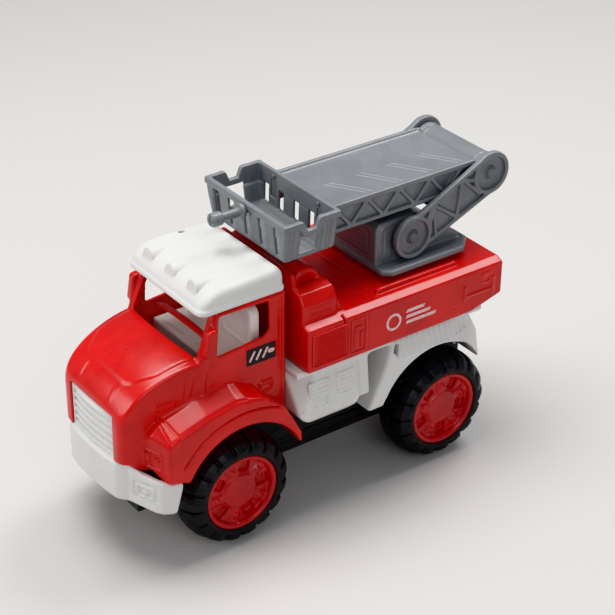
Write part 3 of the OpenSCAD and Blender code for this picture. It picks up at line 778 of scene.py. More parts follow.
def make_cab(mats):
    field = Field((0, -123, 47), (46.9, CAB_REAR_Y, ROOF_Z + 0.2), mirrored=True)
    pillar = poly([(-78.6, 100), (-78.6, 110), (-68.4, ROOF_Z), (CAB_REAR_Y, ROOF_Z), (CAB_REAR_Y, 63),
                   (-79, 63)])
    field.add(hood(0))
    field.cut(hood(WALL))
    walls = along_x(pillar, -CAB_HALF, CAB_HALF, 1.6)
    inside = poly([(-79, 50), (-79, 107), (-76, 110), (-66.4, ROOF_Z + 4), (CAB_REAR_Y - WALL, ROOF_Z + 4),
                   (CAB_REAR_Y - WALL, 50)])
    field.add(walls, k=0.6)
    field.cut(along_x(inside, -CAB_HALF + WALL, CAB_HALF - WALL), k=0.5)
    field.cut(box((-32, -84, 40), (32, -76, 106)))
    # windscreen: a cowl that bows forward, pillars that lean back
    field.add(along_x(poly([(-79.0, 106), (-68.4, ROOF_Z), (-65.8, ROOF_Z), (-76.4, 106)]), -34, 34), k=0.5)
    bow = Shape(
        lambda x, y, z: np.maximum(-(y + 77.2 + 3.6 * (1 - (x / 33) ** 2)),
                                   np.abs(x) - 29.8 + np.abs(z - 111) * 0.07),
        (0, -90, 104), (31, -60, 131.5),
    ) & box((-40, -90, 104), (40, -66, 131.5))
    rail = along_y(rect(-33, 130.5, 33, ROOF_Z, 0.5), -69.6, -66.6, 0.4)
    field.add(rail, k=0.8)
    # doors: window, sill crease, plate seat, handle and mirror stub
    window = poly([(-66.9, 111.2), (-65.6, 131.0), (-38.3, 130.4), (-38.0, 115.6), (-40.4, 113.4)], 1.4)
    field.cut(along_x(window, CAB_HALF - 4, CAB_HALF + 1), k=0.5)
    seam = line([(-28.8, ROOF_Z - 1), (-28.8, 66)], 0.7) | line([(-30.6, 131), (-30.6, 92)], 0.4)
    field.cut(along_x(seam, CAB_HALF - 0.55, CAB_HALF + 1), k=0.4)
    front_seam = line([(-71.5, 108), (-75.2, 99), (-75.2, 80)], 0.7)
    field.cut(along_x(front_seam, CAB_HALF - 0.55, CAB_HALF + 1), k=0.4)
    field.add(along_x(rect(-52.0, 97.5, -32.9, 108.5, 1), CAB_HALF - 1, CAB_HALF + 0.3, 0.2), k=0.3)
    handle = rect(-43.4, 79.4, -35.6, 86.2, 1.2)
    field.add(along_x(handle.shell(0.9, 0.0), CAB_HALF - 1, CAB_HALF + 0.9, 0.3), k=0.4)
    field.add(along_x(line([(-43, 84.6), (-37.5, 84.6)], 1.6), CAB_HALF - 1, CAB_HALF + 1.0, 0.3), k=0.4)
    stub = along_x(poly([(-75.4, 114), (-73.6, 125.8), (-71.2, 126.2), (-72.2, 113.4)], 1.6), 33, 38.1, 1.2)
    field.add(stub, k=1.6)
    # fenders over the front wheels
    field.add(fender(22.8, 46.8), k=1.2)
    arch_y, arch_z, arch_r = ARCH
    field.add(along_x(disc(arch_y, arch_z, arch_r + 6.2) & rect(-112, 48.5, -20, 90), 41.5, 46.8, 1.8)
              & fender(22.8, 46.8), k=0.8)
    groove = disc(arch_y + 1, arch_z - 1, arch_r + 9.4).shell(0.35, 0.35) & rect(-101, 60, -38, 90)
    field.cut(along_x(groove, 43.8, 50), k=0.5)
    field.cut(bar_x(arch_r, 22.8 + WALL, 50, arch_y, arch_z), k=0.8)
    field.cut(bar_x(arch_r - 2, 18, 25, arch_y, arch_z))
    field.cut(fender(30.6, 46.8).grow(-WALL) & box((32.6, -114, 46), (44.6, -92, 90)))
    # headlamp frame on the front of the fender
    lamp = moved(make_lamp(), turn_about("Z", LAMP_TURN), LAMP_SPOT)
    field.cut(moved(along_y(rect(-5.7, -4.3, 5.7, 4.7, 1.0), -2, 0.5), turn_about("Z", LAMP_TURN), LAMP_SPOT),
              k=0.3)
    field.add(lamp, k=0.3)
    # creases where the crown folds down to the lamp and along its outer edge
    for a, b in (((30, -103.4), (45.0, -103.8)), ((30, -101.6), (46.4, -98.4)), ((45.4, -98.4), (45.4, -58))):
        field.cut(crease_on_fender(a, b), k=0.35)
    # bonnet: broad raised panel, ribs by the nose, cowl grooves and side vent
    panel = poly([(0, -103.6), (15, -103.6), (19.4, -97), (21.6, -70), (0, -70)], 8.6)
    field.add(on_hood(panel, 0.8, 1.2), k=1.0)
    field.add(on_hood(line([(14.4, -119.6), (14.4, -114.5)], 1.2), 0.9), k=0.5)
    field.add(along_x(rect(-104, 89.2, -93.0, 93.2, 0.9).shell(0.8, 0), 27, 35, 0.3)
              & hood(-0.7), k=0.3)
    field.cut(bow, k=0.7)
    for y, tilt in ((-85.4, 2.0), (-80.4, 3.0)):
        cut = along_x(line([(y, 106), (y - tilt, 92)], 0.7), 27, 40)
        field.cut(cut & Shape(lambda a, b, c: -(hood(0).fn(a, b, c) + 0.6), (20, -100, 80), (46, -70, 112)),
                  k=0.4)
    # grille and bumper openings
    field.cut(box((-20.3, -127, 61), (20.3, -116, 87.3), 0.3))
    field.cut(box((-23, -28, 48), (23, -18, 88)))
    field.cut(box((-27, -130, 40), (27, -112.8, 61.6)))
    corner = poly([(-130, 40), (-130, 62.0), (-118.5, 61.6), (-113.8, 57.4), (-104, 53.7), (-96, 52),
                   (-96, 40)])
    field.cut(along_x(corner, 22.5, 50))
    mesh = field.mesh("Cab_shell", 1)
    place(mesh, "Cab_shell", "truck", mats["cab"], "red_plastic", "cab_shell")


LAMP_SPOT = (36.2, -108.9, 65.0)
LAMP_TURN = 18.4


def make_lamp():
    """A double headlamp frame about the origin, facing -Y."""
    frame_outline = rect(-6.6, -5.2, 6.6, 5.6, 1.2)
    outer = along_y(frame_outline.shell(1.0, 0), -0.9, 1, 0.3)
    lens = along_y(rect(-4.9, -3.4, -0.7, 3.8, 1.2).shell(0.8, 0), -0.8, 1, 0.2)
    mark = along_y(line([(1.4, 2.2), (3.0, 0.4), (4.6, 2.2)], 1.1), -0.8, 1, 0.2)
    return outer | lens | mark


def crease_on_fender(a, b):
    """A fine moulded line across the fender's crown between two (x, y) points."""
    mark = line([a, b], 0.7)

    def fn(x, y, z):
        return np.maximum(mark.fn(x, y), 70 - z)
    (x0, y0), (x1, y1) = mark.low, mark.high
    cover = fender(22.8, 46.8)
    skin = Shape(lambda x, y, z: np.maximum(fn(x, y, z), np.abs(cover.fn(x, y, z)) - 0.6), (x0, y0, 70),
                 (x1, y1, 96))
    return skin


def make_roof(mats):
    """White roof with a rolled edge, a drip rim, three lamps and a small hole."""
    low, high = node_box("cab_roof")
    half, front, rear, top = high[0], low[1] - 1.8, high[1], low[2] + 12.5
    field = Field((0, front, ROOF_Z), (half, rear, high[2]), mirrored=True)

    def fn(x, y, z):
        crown = 0.3 * (x / half) ** 2 + 5.6 * np.clip((-60 - y) / 18, 0, 1.1) ** 2
        rise = np.clip(z - ROOF_Z, 0, 14)
        side = smooth_max(np.abs(x) - half + 0.3 + rise * 0.05, front + 0.6 + rise * 0.26 - y, 6)
        side = smooth_max(side, y - rear + 0.2, 4)
        return smooth_max(side, z - top + 0.05 + crown, 5)
    body = Shape(fn, (0, front, ROOF_Z), (half, rear, top))
    rim = Shape(lambda x, y, z: np.maximum(fn(x, y, z) - 0.5, np.abs(z - ROOF_Z - 1.4) - 1.3), body.low,
                (half, rear, 138))
    field.add(body).add(rim, k=0.8)
    field.keep(box((-50, -90, ROOF_Z + 0.1), (50, 0, 160)))
    field.cut(box((-half + 4.5, front + 6.5, ROOF_Z - 2), (half - 4.5, rear - 4, ROOF_Z + 8.6), 3), k=0.8)
    for x in (0, 20.4):
        field.add(roof_lamp(x, top), k=0.7)
    field.unfold()
    field.cut(along_z(disc(-29.5, -47.5, 1.9), ROOF_Z, 160), k=0.4)
    place(field.mesh("Cab_roof", 1), "Cab_roof", "truck", mats["white"], "white_plastic", "cab_roof")


def roof_lamp(x, top):
    """A clearance lamp: upright half-round face on the roof's front slope, tapering to the rear."""
    def fn(X, Y, Z):
        t = np.clip((Y + 74) / 30, 0, 1)
        width = 4.9 - 2.4 * t
        height = top - 0.4 + 2.6 * (1 - t)
        arch = np.hypot(X - x, np.maximum(Z - height + width, 0)) - width
        d = smooth_max(arch, -74.2 + (Z - 142) * 0.16 - Y, 1.0)
        return np.maximum(d, top - 3.4 - 3.4 * np.clip((-67 - Y) / 6, 0, 1) - Z)
    return Shape(fn, (x - 5, -74.4, top - 7), (x + 5, -43.5, top + 2.4))


def make_seat(mats):
    """The pale inner moulding, white plastic with a painted pink reflection of the red cab: a bench and a
    backrest in two rounded halves.
    """
    low, high = node_box("seat_bench")
    field = Field(low, (high[0], high[1], high[2]), mirrored=False)
    field.add(box((-31, -66, 90), (31, -43, 101), 1.2))
    back = along_y(rect(-30, 92, 30, 127, 5.5), -45, -39, 1.6)
    field.add(back, k=1.2)
    field.cut(box((-0.8, -47, 103), (0.8, -44.2, 130)), k=0.8)
    field.add(box((-31, -45, 88.6), (31, CAB_REAR_Y - WALL - 0.4, 96), 0.8), k=0.8)
    for x in (-15.5, 15.5):
        field.cut(box((x - 11, -62, 100.2), (x + 11, -47.5, 103), 0.6), k=0.6)
        field.cut(along_y(rect(x - 10.5, 105, x + 10.5, 121, 3), -46, -44.3), k=0.5)
    place(field.mesh("Seat_bench", 1), "Seat_bench", "truck", mats["seat"], "white_plastic", "seat_bench")


# ---------------------------------------------------------------- white mouldings

BUMPER_PLAN = [(0, -125.0), (15, -124.4), (22.6, -122.6), (24.6, -120.8), (26.4, -118.0), (41.2, -111.6),
               (44.4, -108.8), (45.9, -104.4), (46.1, -97.6), (43.4, -97.6), (42.4, -104), (39, -108),
               (24, -114.5), (21, -118.5), (0, -120.4)]
BUMPER_SIDE = [(-126, 40), (-122, 39.2), (-112, 36.6), (-90, 33.1), (-90, 50.6), (-104, 53.1), (-113.6, 56.7),
               (-118.4, 61.2), (-126, 61.6)]


def make_bumper(mats):
    """One white moulding: grille slats that run down into a wrap-round bumper with fog lamps."""
    low, high = node_box("bumper_grille")
    field = Field((0, low[1], low[2]), high, mirrored=True)
    wrap = common(along_z(poly(BUMPER_PLAN, 0.3), 30, 62), along_x(poly(BUMPER_SIDE, 0.4), -50, 50), 1.8)
    tip = Shape(lambda x, y, z: y + 96.8 - (z - 51.4) * 0.27, wrap.low, wrap.high)
    field.add(common(wrap, tip, 1.6))
    # the middle section stands forward, with a soft ledge under the grille
    apron = common(along_z(poly([(0, -125.1), (15, -124.6), (22.4, -122.9), (24.4, -120), (0, -119)], 0.2),
                           38, 60.2),
                   along_x(poly([(-119, 40), (-122.5, 39.4), (-125.1, 42), (-125.1, 55), (-122.4, 60.2),
                                 (-119, 60.2)], 0.2), -30, 30), 1.5)
    field.add(apron, k=0.8)

    def front(x):
        return -123.0 + 2.4 * (x / 20.3) ** 2

    backing = Shape(
        lambda x, y, z: np.maximum(np.maximum(front(x) + 1.1 - y, y + 119.4),
                                   np.maximum(np.abs(x) - 19.9, np.abs(z - 72.6) - 14.4)),
        (0, -123, 58), (19.9, -119.4, 87),
    )
    field.add(backing, k=0.5)
    for i in range(6):
        z = 63.2 + i * 4.25

        def slat(x, y, z_, z=z):
            sag = 0.9 * (x / 20) ** 2 * (1 if z < 80 else 0.4)
            body = smooth_max(front(x) - 0.2 - y, np.abs(z_ - z + sag) - 1.45, 1.4)
            return np.maximum(np.maximum(body, y + 119.5), np.abs(x) - 19.9)
        field.add(Shape(slat, (0, -124, z - 3), (19.9, -119.5, z + 2)), k=0.4)
    field.add(along_y(rect(-19.9, 60, 19.9, 87, 1).shell(0.9, 0), -122.1, -119.6, 0.3), k=0.4)
    # fog lamp: two frames and a bead on each wing
    spot, turn = (36.0, -114.15, 47.6), turn_about("Z", 23.4)
    inner_frame = rect(-5.3, -3.4, 5.3, 3.4, 1.2)
    field.cut(moved(along_y(rect(-7.3, -5.1, 7.3, 5.1, 1.6).shell(1.2, 0), -2, 0.9), turn, spot), k=0.3)
    field.cut(moved(along_y(inner_frame, -2, 0.8), turn, spot), k=0.3)
    field.add(moved(along_y(inner_frame.shell(0.9, 0), -0.7, 1.2, 0.3), turn, spot),
              k=0.3)
    field.add(moved(along_y(disc(0, -0.3, 1.7), -0.6, 1.2, 0.6), turn, spot), k=0.3)
    field.add(box((14, -119.8, 42), (18, -110.3, 56), 0.4), k=0.6)
    place(field.mesh("Bumper_grille", 1), "Bumper_grille", "truck", mats["white"], "white_plastic",
          "bumper_grille")


def make_underframe(mats):
    """White undertray: side steps, rear wheel fenders and the plate that joins them."""
    low, high = node_box("underframe")
    half = high[0]
    step_front = low[1]
    field = Field((0, low[1], low[2]), high, mirrored=True)
    field.add(box((-44, -25.8, 84.7), (44, 99, 88.3), 0.8))
    outline = [(19.6, 50.4), (29, 50.4), (60, 60), (96.3, 52.6), (99.0, 53.4), (99.8, 70), (90.6, 87.6),
               (36.4, 87.6)]

    def fender_rear(x, y, z):
        side = (np.abs(x) - half + 0.15 + np.clip(z - 76, 0, 14) * 0.3) * 0.96
        shape = poly(outline, 0.5).fn(y, z)
        fold = (y - 84 + (z - 70) * 0.55) * 0.42 + (np.abs(x) - half + 1.5)
        return smooth_max(smooth_max(shape, side, 2.6), np.maximum(fold * 0.8, 22.7 - np.abs(x)), 2.0)
    field.add(Shape(fender_rear, (22.7, 19, 49), (half, 100.4, 88.2)), k=0.6)
    section = poly([(22.8, 57.4), (45.2, 57.4), (47.7, 60.2), (47.7, 65), (43.9, 83.6), (43.7, 88.0),
                    (22.8, 88.0)], 0.3)
    step = along_y(section, step_front + 0.1, 12.4, 0.9)
    corner = Shape(
        lambda x, y, z: 0.628 * (x - 35.4) - 0.654 * (y + 26.2) + 0.422 * (z - 79), step.low, step.high,
    )
    step = common(step, corner, 1.2)
    toe = along_x(poly([(-24.8, 57), (-19.6, 57), (-25.9, 62.4), (-30, 62.4), (-30, 50), (-24.8, 50)]), 22,
                  50)
    heel = along_x(poly([(8.5, 50), (8.5, 57.2), (12.2, 62.4), (16, 62.4), (16, 50)]), 22, 50)
    field.add(step, k=0.5)
    field.cut(toe, heel, k=1.4)
    # a second, narrower panel leans back to the fender's leg
    field.add(along_y(poly([(24, 62), (45, 62), (42.5, 86), (24, 86)], 0.8), 12, 20.5, 0.8), k=2.5)
    field.add(box((-24, -25.8, 62.4), (24, -22, 86), 0.5), box((-24, 14, 62.4), (24, 19, 86), 0.5), k=0.5)
    field.add(box((-22.7, 86, 62.4), (22.7, 98, 86), 0.5), k=0.5)
    for y in (-10, 40, 96):
        field.add(along_z(disc(0, y, 4), 62.1, 86), k=0.8)
        field.cut(along_z(disc(0, y, 1.6), 61, 78))
    arch_y, arch_z, arch_r = 64.5, 38, 38
    field.cut(bar_x(arch_r, 24.6, 60, arch_y, arch_z), bar_x(arch_r - 2, 20, 26, arch_y, arch_z), k=0.6)
    field.cut(along_x(poly([(21.6, 48), (29.5, 48), (40, 84), (37, 84)]), 20, half - 2))
    hollow = poly([(20, 59.6), (43.8, 59.6), (45.6, 61.5), (45.6, 64.8), (41.8, 84.4), (20, 84.4)])
    thin = Shape(lambda x, y, z: corner.fn(x, y, z) + WALL + 0.3, step.low, step.high)
    field.cut(along_y(hollow, -21.4, 8.4) & thin)
    field.add(along_x(disc(arch_y, arch_z, arch_r + 1.5).shell(1.5, 0) & rect(30, 54, 97, 90), half - 2.2,
                      half - 0.1, 0.7)
              & Shape(fender_rear, (22.7, 19, 49), (half, 100.4, 88.2)).grow(0.4), k=0.8)
    # framed treads on the steps
    lean = math.degrees(math.atan2(3.8, 18.6))
    for y in (-12.7, 3.6):
        pad = rect(-6.9, -6.3, 6.9, 6.3, 1.2)
        plate = along_x(pad.shell(1.1, 0), -1, 0.8, 0.3)
        bars = [along_x(line([(-4.6, z), (4.6, z)], 0.9), -1, 0.55, 0.25) for z in (-3.6, -1.2, 1.2, 3.6)]
        for piece in [plate, *bars]:
            field.add(moved(piece, turn_about("Y", -lean), (45.95, y, 74.6)), k=0.3)
    shelf = along_x(line([(-24.5, 66.3), (12, 66.3)], 0.9), half - 1.4, half - 0.1, 0.3)
    field.add(shelf, k=0.4)
    # ribs across the fender's sloping crown
    for i in range(14):
        rib_y = 38.5 + i * 3.75

        def groove(x, y, z, rib_y=rib_y):
            return np.maximum(np.maximum(np.abs(y - rib_y) - 0.8, -(fender_rear(x, y, z) + 0.7)), 77.5 - z)
        field.cut(Shape(groove, (38, rib_y - 0.8, 77.5), (half, rib_y + 0.8, 88.5)), k=0.9)
    place(field.mesh("Underframe", 1), "Underframe", "truck", mats["step"], "white_plastic", "underframe")


# ---------------------------------------------------------------- rear body


def make_rear_body(mats):
    """Red load body: chest behind the cab, framed louvres, tool reliefs, deck rails."""
    low, high = node_box("rear_body")
    front, rear = low[1], high[1]
    half, deck = 47.3, 115.5
    field = Field((0, front, low[2]), (high[0], rear, high[2]), mirrored=True)
    section = poly(both_sides([(half - 0.4, 89.1), (half - 0.4, 113.3), (42.4, deck - 0.4)]), 0.4)
    field.add(along_y(section, front, rear, 1.1))
    chest = poly(both_sides([(41.9, 113), (41.9, 125.4), (38.6, 130.7), (34, 131.8)]), 0.4)
    field.add(along_y(chest, front, 0.4, 1.2), k=0.8)
    # rear face of the chest steps down to the deck
    field.add(along_x(poly([(-4, 112), (6.6, 112), (1.4, 122), (-4, 124)], 0.6), -41.4, 41.4, 0.8), k=0.8)
    field.add(along_y(poly(both_sides([(34, 128), (31.5, 139.3)]), 0.6), front, front + 2.8,
                      0.9), k=1.2)
    # round housings on the chest
    field.add(bar_x(8.4, 14.5, 29.5, front + 11.5, 131, 1.4), k=0.8)
    field.cut(bar_x(4.6, 28.9, 31, front + 11.5, 131), k=0.4)
    # underside hollow
    inner = poly(both_sides([(half - WALL, 80), (half - WALL, 112.2), (41.6, deck - WALL)]))
    field.cut(along_y(inner, front + WALL, rear - WALL))
    field.cut(along_y(poly(both_sides([(39.8, 110), (39.8, 124.8), (37.3, 129.2)])), front + WALL, -1.6))
    field.cut(along_x(poly([(89, 80), (rear + 2, 80), (rear + 2, 94.7), (89, 88.8)]), -60, 60), k=0.6)
    # deck rails
    rail = poly([(28.4, 115), (29.4, 117.6), (31.6, 118.0), (80, 117.6), (82, 118.0), (83.6, 115)], 0.3)
    field.add(along_x(rail, 36.2, 39.2, 0.7), k=0.5)
    skin = half
    # ridges on the chest's flank and the notch behind it
    for z in (117.4, 120.2, 123.0):
        field.add(along_x(line([(front + 4, z), (-3.0, z)], 1.0), 40.8, 42.75, 0.35), k=0.3)
    field.cut(along_x(line([(1.9, 109), (1.9, 116)], 0.8), 44, 50), k=0.4)
    field.cut(along_x(line([(16.8, 112), (16.8, 90)], 0.5), skin - 0.45, skin + 1), k=0.3)
    # square lamp, spanner and strap reliefs near the tail
    marks = rect(93.8, 104.2, 101.2, 110.6, 1.0).shell(0.8,
                                                       0) | line([(96, 106.2), (96, 108.8), (99.2, 108.8)],
                                                                 0.8)
    tool = line([(82.6, 98), (82.6, 104.8)], 2.2) | line([(83, 99.6), (101, 99.6), (102.6, 101)],
                                                         1.3) | line([(102.6, 97.4), (102.6, 106)], 2.2)
    field.add(along_x(marks | tool, skin - 0.6, skin + 0.65, 0.3), k=0.3)
    # tail: recessed panel and two round lamps
    field.cut(along_y(rect(-34, 97.5, 34, 110.5, 2), rear - 0.7, rear + 1), k=0.4)
    for x in (22, 29.5):
        field.add(along_y(disc(x, 104, 2.8), rear - 1.2, rear - 0.1, 0.4), k=0.3)
    # deck: ring round the swivel and a shallow panel
    swivel = (node_box("turntable_washer")[0] + node_box("turntable_washer")[1]) / 2
    field.cut(along_z(disc(0, swivel[1], 5.1), 100, 120))
    field.add(along_z(disc(0, swivel[1], 31.5).shell(0.8, 0), deck - 1, deck + 0.12), k=0.2)
    field.cut(along_z(rect(-32, 8, 32, 30, 2).shell(0.35, 0.35), deck - 0.5, deck + 1), k=0.3)
    place(field.mesh("Rear_body", 1), "Rear_body", "truck", mats["red"], "red_plastic", "rear_body")
    make_side_panels(mats, half)


def make_side_panels(mats, skin):
    """The finely moulded flank of the body: a framed louvre panel and a narrow locker beside it."""
    frames = rect(-19.0, 91.2, 4.8, 111.0, 1.1).shell(1.1, 0) | rect(5.6, 91.2, 15.6, 111.0, 1.1).shell(0.9,
                                                                                                        0)
    frames = frames | rect(-16.9, 92.6, 2.7, 109.6, 0.8).shell(0.45, 0)
    louvres = line([(-15.6, 94.0), (1.4, 94.0)], 0.62)
    for i in range(1, 13):
        louvres = louvres | line([(-15.6, 94.0 + i * 1.18), (1.4, 94.0 + i * 1.18)], 0.62)
    locker = rect(7.6, 94.2, 10.4, 104.6, 1.2) | rect(8.3, 104, 9.7, 107.2,
                                                      0.6) | line([(9, 106.8), (12.4, 106.8)], 0.8)
    locker = locker | rect(11.7, 94.2, 13.6, 103.5, 0.8)
    for side, name in ((1, "left"), (-1, "right")):
        low, high = sorted((side * (skin - 0.9), side * (skin + 0.7)))
        field = Field((low, -19.4, 91), (high, 15.8, 111.2), 0.25)
        for outline, proud in ((rect(-19, 91.2, 15.6, 111.0, 1.1), 0.06), (frames, 0.65), (louvres, 0.5),
                               (locker, 0.6)):
            solid = along_x(outline, skin - 0.9, skin + proud, 0.2 if proud > 0.1 else 0)
            flipped = Shape(lambda x, y, z, f=solid.fn: f(np.abs(x), y, z), (low, *solid.low[1:]),
                            (high, *solid.high[1:]))
            field.add(flipped, k=0.15)
        place(field.mesh("Body_panel_" + name, 0), "Body_panel_" + name, "truck", mats["red"], "red_plastic",
              "rear_body")


# ---------------------------------------------------------------- turntable and arms

SWIVEL_Y = 69.0
ARM_PIVOT = (60.5, 135.2)
ELBOW = (113.0, 158.2)
ARM_R = 12.15
ARM_OUT = 30.0
ARM_IN = 26.4
BOOM_HALF = 26.0
PIN_R = 2.0


def make_turntable(mats):
    """Swivelling base: a chamfered plate and a hollow housing that slopes down behind."""
    low, high = node_box("turntable")
    plate_low, plate_high = 118.8, 122.3
    front, rear, half = low[1], high[1], 34.5
    field = Field((0, low[1], low[2]), high, mirrored=True)
    plan = poly(both_sides([(half - 4.6, front + 0.6), (half - 0.6, front + 5.2), (half - 0.6, rear - 9.4),
                            (half - 9.4, rear - 0.6)]), 0.6)
    field.add(along_z(plan, plate_low, plate_high, 0.9))
    field.add(along_z(plan.grow(-1.6).shell(0.9, 0), plate_high - 0.5, plate_high + 0.45, 0.3), k=0.3)
    field.add(along_z(disc(0, SWIVEL_Y, 29), 115.8, 120), k=0.6)
    field.add(along_z(disc(0, SWIVEL_Y, 5), 113.1, 119))
    shell = poly([(front + 2.4, 119), (front + 2.4, 142.6), (front + 4.6, 145), (65.5, 145), (70.2, 141.2),
                  (89.4, 128.8), (95.9, 124), (95.9, 119)], 1.0)
    field.add(along_x(shell, -23.5, 23.5, 1.4), k=0.9)
    inner = poly([(front + 4.4, 100), (front + 4.4, 142), (front + 5.4, 143.4), (64.6, 143.4), (69.2, 139.8),
                  (88.8, 127), (94, 122.6), (94, 100)])
    field.cut(along_x(inner, -21.5, 21.5))
    ring = disc(0, SWIVEL_Y, 26.5) - disc(0, SWIVEL_Y, 8)
    field.cut(along_z(ring, 110, 119.4))
    field.add(along_z(disc(0, SWIVEL_Y, 27.5), 118.8, 120.6), along_z(disc(0, SWIVEL_Y, 7.9), 115.8, 121),
              k=0.4)
    field.cut(along_z(disc(0, SWIVEL_Y, 1.4), 105, 119))
    y, z = ARM_PIVOT
    field.add(bar_x(9, 22, 25.8, y, z, 0.7), k=1.0)
    field.add(bar_x(6, 15.5, 22.5, y, z), k=0.5)
    field.cut(bar_x(PIN_R - 0.02, 14, 28, y, z))
    # panel line on the flank, ribs on the rear slope, steps on the front face
    flank = poly([(front + 8, 123.5), (front + 8, 140), (50, 140), (50, 123.5)], 1.2).shell(0.4, 0.3)
    field.cut(along_x(flank, 23.1, 25), k=0.3)
    slope = math.degrees(math.atan2(12.4, 19.2))
    for i in range(4):
        rib = box((-19, -0.5, -0.5), (19, 0.5, 0.5), 0.3)
        t = 0.16 + i * 0.22
        field.add(moved(rib, turn_about("X", -slope), (0, 70.2 + 19.2 * t, 142.2 - 12.4 * t)), k=0.4)
    field.cut(along_y(rect(-17, 125, 17, 140, 2).shell(0.5, 0.3), front + 0.9, front + 2.0), k=0.3)
    place(field.mesh("Turntable", 1), "Turntable", "turntable", mats["grey"], "grey_plastic", "turntable")


def make_lower_arm(mats):
    """Two truss plates with dished round ends, joined by a cross bar."""
    low, high = node_box("lower_arm")
    (y0, z0), (y1, z1) = ARM_PIVOT, ELBOW
    length = math.hypot(y1 - y0, z1 - z0)
    lean = math.degrees(math.atan2(z1 - z0, y1 - y0))
    blade = poly([(0, -ARM_R + 2.0), (length, -ARM_R + 1.1), (length, ARM_R - 0.7), (6, ARM_R - 2.7)], 0.4)
    ends = disc(0, 0, ARM_R) | disc(length, 0, ARM_R)
    outline = blade | ends
    web = along_x(outline.grow(-0.8), 0.15, 1.2)
    flange = along_x(outline.shell(2.3, 0), 0.15, ARM_OUT - ARM_IN, 0.5)
    truss = line([(9, -5.5), (18.2, 8.5), (28.6, -9.2), (39.6, 9.6), (46.6, -6.5)],
                 2.2) | line([(9, 1), (18.2, 8.5)], 2.2)
    truss = truss | line([(39.6, 9.6), (50, 0)], 2.2) | line([(18.2, 8.5), (13, -9.5)], 1.9)
    ribs = along_x(truss, 0.4, ARM_OUT - ARM_IN - 0.7, 0.5) & along_x(outline, 0, 4)
    solid = [web, flange, ribs]
    hubs = []
    for at in (0, length):
        hubs.append(along_x(disc(at, 0, ARM_R), 0.15, ARM_OUT - ARM_IN, 0.8))
    turn = turn_about("X", lean)
    field = Field((0, low[1], low[2]), high, FINE_GRID, mirrored=True)
    spot = (ARM_IN, y0, z0)
    for piece in solid + hubs:
        field.add(moved(piece, turn, spot), k=0.5)
    for at in (0, length):
        dish = along_x(disc(at, 0, ARM_R - 2.5), 1.25, 8) - along_x(disc(at, 0, 3.9), 0, 2.3)
        field.cut(moved(dish, turn, spot), k=0.7)
        step = along_x(disc(at, 0, ARM_R - 5.4).shell(0.4, 0.4), 0.8, 1.3)
        field.cut(moved(step, turn, spot), k=0.2)
        field.cut(moved(along_x(disc(at, 0, PIN_R + 0.05), -2, 6), turn, spot))
    bar = along_x(poly([(26.4, -10.8), (43.6, -11.0), (43.6, -9.6), (26.4, -9.4)], 0.2), -ARM_IN - 1, 0.6)
    field.add(moved(bar, turn, spot), k=0.4)
    place(field.mesh("Lower_arm", 1), "Lower_arm", "lower_arm", mats["grey"], "grey_plastic", "lower_arm")


def make_boom(mats):
    """Upper arm: ribbed deck between side lips, zigzag trusses, a roll at the elbow."""
    low, high = node_box("boom")
    front, bottom, top, deck = 8.0, 151.0, 166.6, 165.5
    field = Field((0, low[1], low[2]), high, FINE_GRID, mirrored=True)
    field.add(box((-BOOM_HALF + 1, front + 0.1, deck - WALL), (BOOM_HALF - 1, 105.6, deck), 0.2))
    plate = poly([(front + 0.3, bottom + 0.4), (95, bottom + 0.4), (105, 156), (105, top - 0.8),
                  (front + 0.3, top - 0.8)])
    field.add(along_x(plate, BOOM_HALF - 3.8, BOOM_HALF - 2.3), k=0.3)
    chords = line([(front + 1.2, bottom + 1.3), (96, bottom + 1.3)],
                  2.4) | line([(front + 1.2, top - 1.25), (106, top - 1.25)], 2.4)
    chords = chords | line([(front + 1.1, bottom + 1.2), (front + 1.1, top - 1.4)], 2.0)
    zigzag = []
    for i in range(9):
        zigzag.append((front + 3 + i * 10.5, top - 1.8 if i % 2 == 0 else bottom + 1.6))
    truss = line(zigzag, 2.1)
    field.add(along_x(chords, BOOM_HALF - 3.0, BOOM_HALF - 0.1, 0.5), k=0.4)
    field.add(along_x(truss, BOOM_HALF - 3.0, BOOM_HALF - 0.2, 0.4), k=0.5)
    lip = along_x(rect(front + 0.2, deck - 1, 104, top + 0.5, 0.3), BOOM_HALF - 2.4, BOOM_HALF - 0.2, 0.5)
    field.add(lip, k=0.4)
    # double chevrons cast on the deck
    for i in range(4):
        for k in (0, 1):
            y = 22.5 + i * 20.5 + k * 3.6
            mark = line([(0, y), (19.5, y + 12.5)], 0.95)
            field.add(along_z(mark, deck - 0.6, deck + 0.5, 0.2), k=0.25)
    # roll at the elbow with its side discs
    y, z = ELBOW
    field.add(bar_x(9.2, -BOOM_HALF + 4.6, BOOM_HALF - 4.6, y, z, 0.4), k=0.8)
    field.add(bar_x(9.6, BOOM_HALF - 6, BOOM_HALF - 0.1, y, z, 0.9), k=0.4)
    field.cut(along_x(disc(y, z, 9.4).shell(0.5, 0.4), BOOM_HALF - 5.0, BOOM_HALF - 4.0), k=0.4)
    field.cut(bar_x(7.2, -BOOM_HALF + 7, BOOM_HALF - 7, y, z))
    gap = poly([(100, 146), (113, 138), (125, 146), (118, 153), (104, 153)])
    field.cut(along_x(gap, -BOOM_HALF + 7, BOOM_HALF - 7), k=0.6)
    field.cut(bar_x(PIN_R + 0.05, 8, 30, y, z))
    field.add(box((BOOM_HALF - 8, front - 3, 155), (BOOM_HALF - 3, front + 5, 164.6), 0.3), k=0.3)
    place(field.mesh("Boom", 1), "Boom", "boom", mats["grey"], "grey_plastic", "boom")


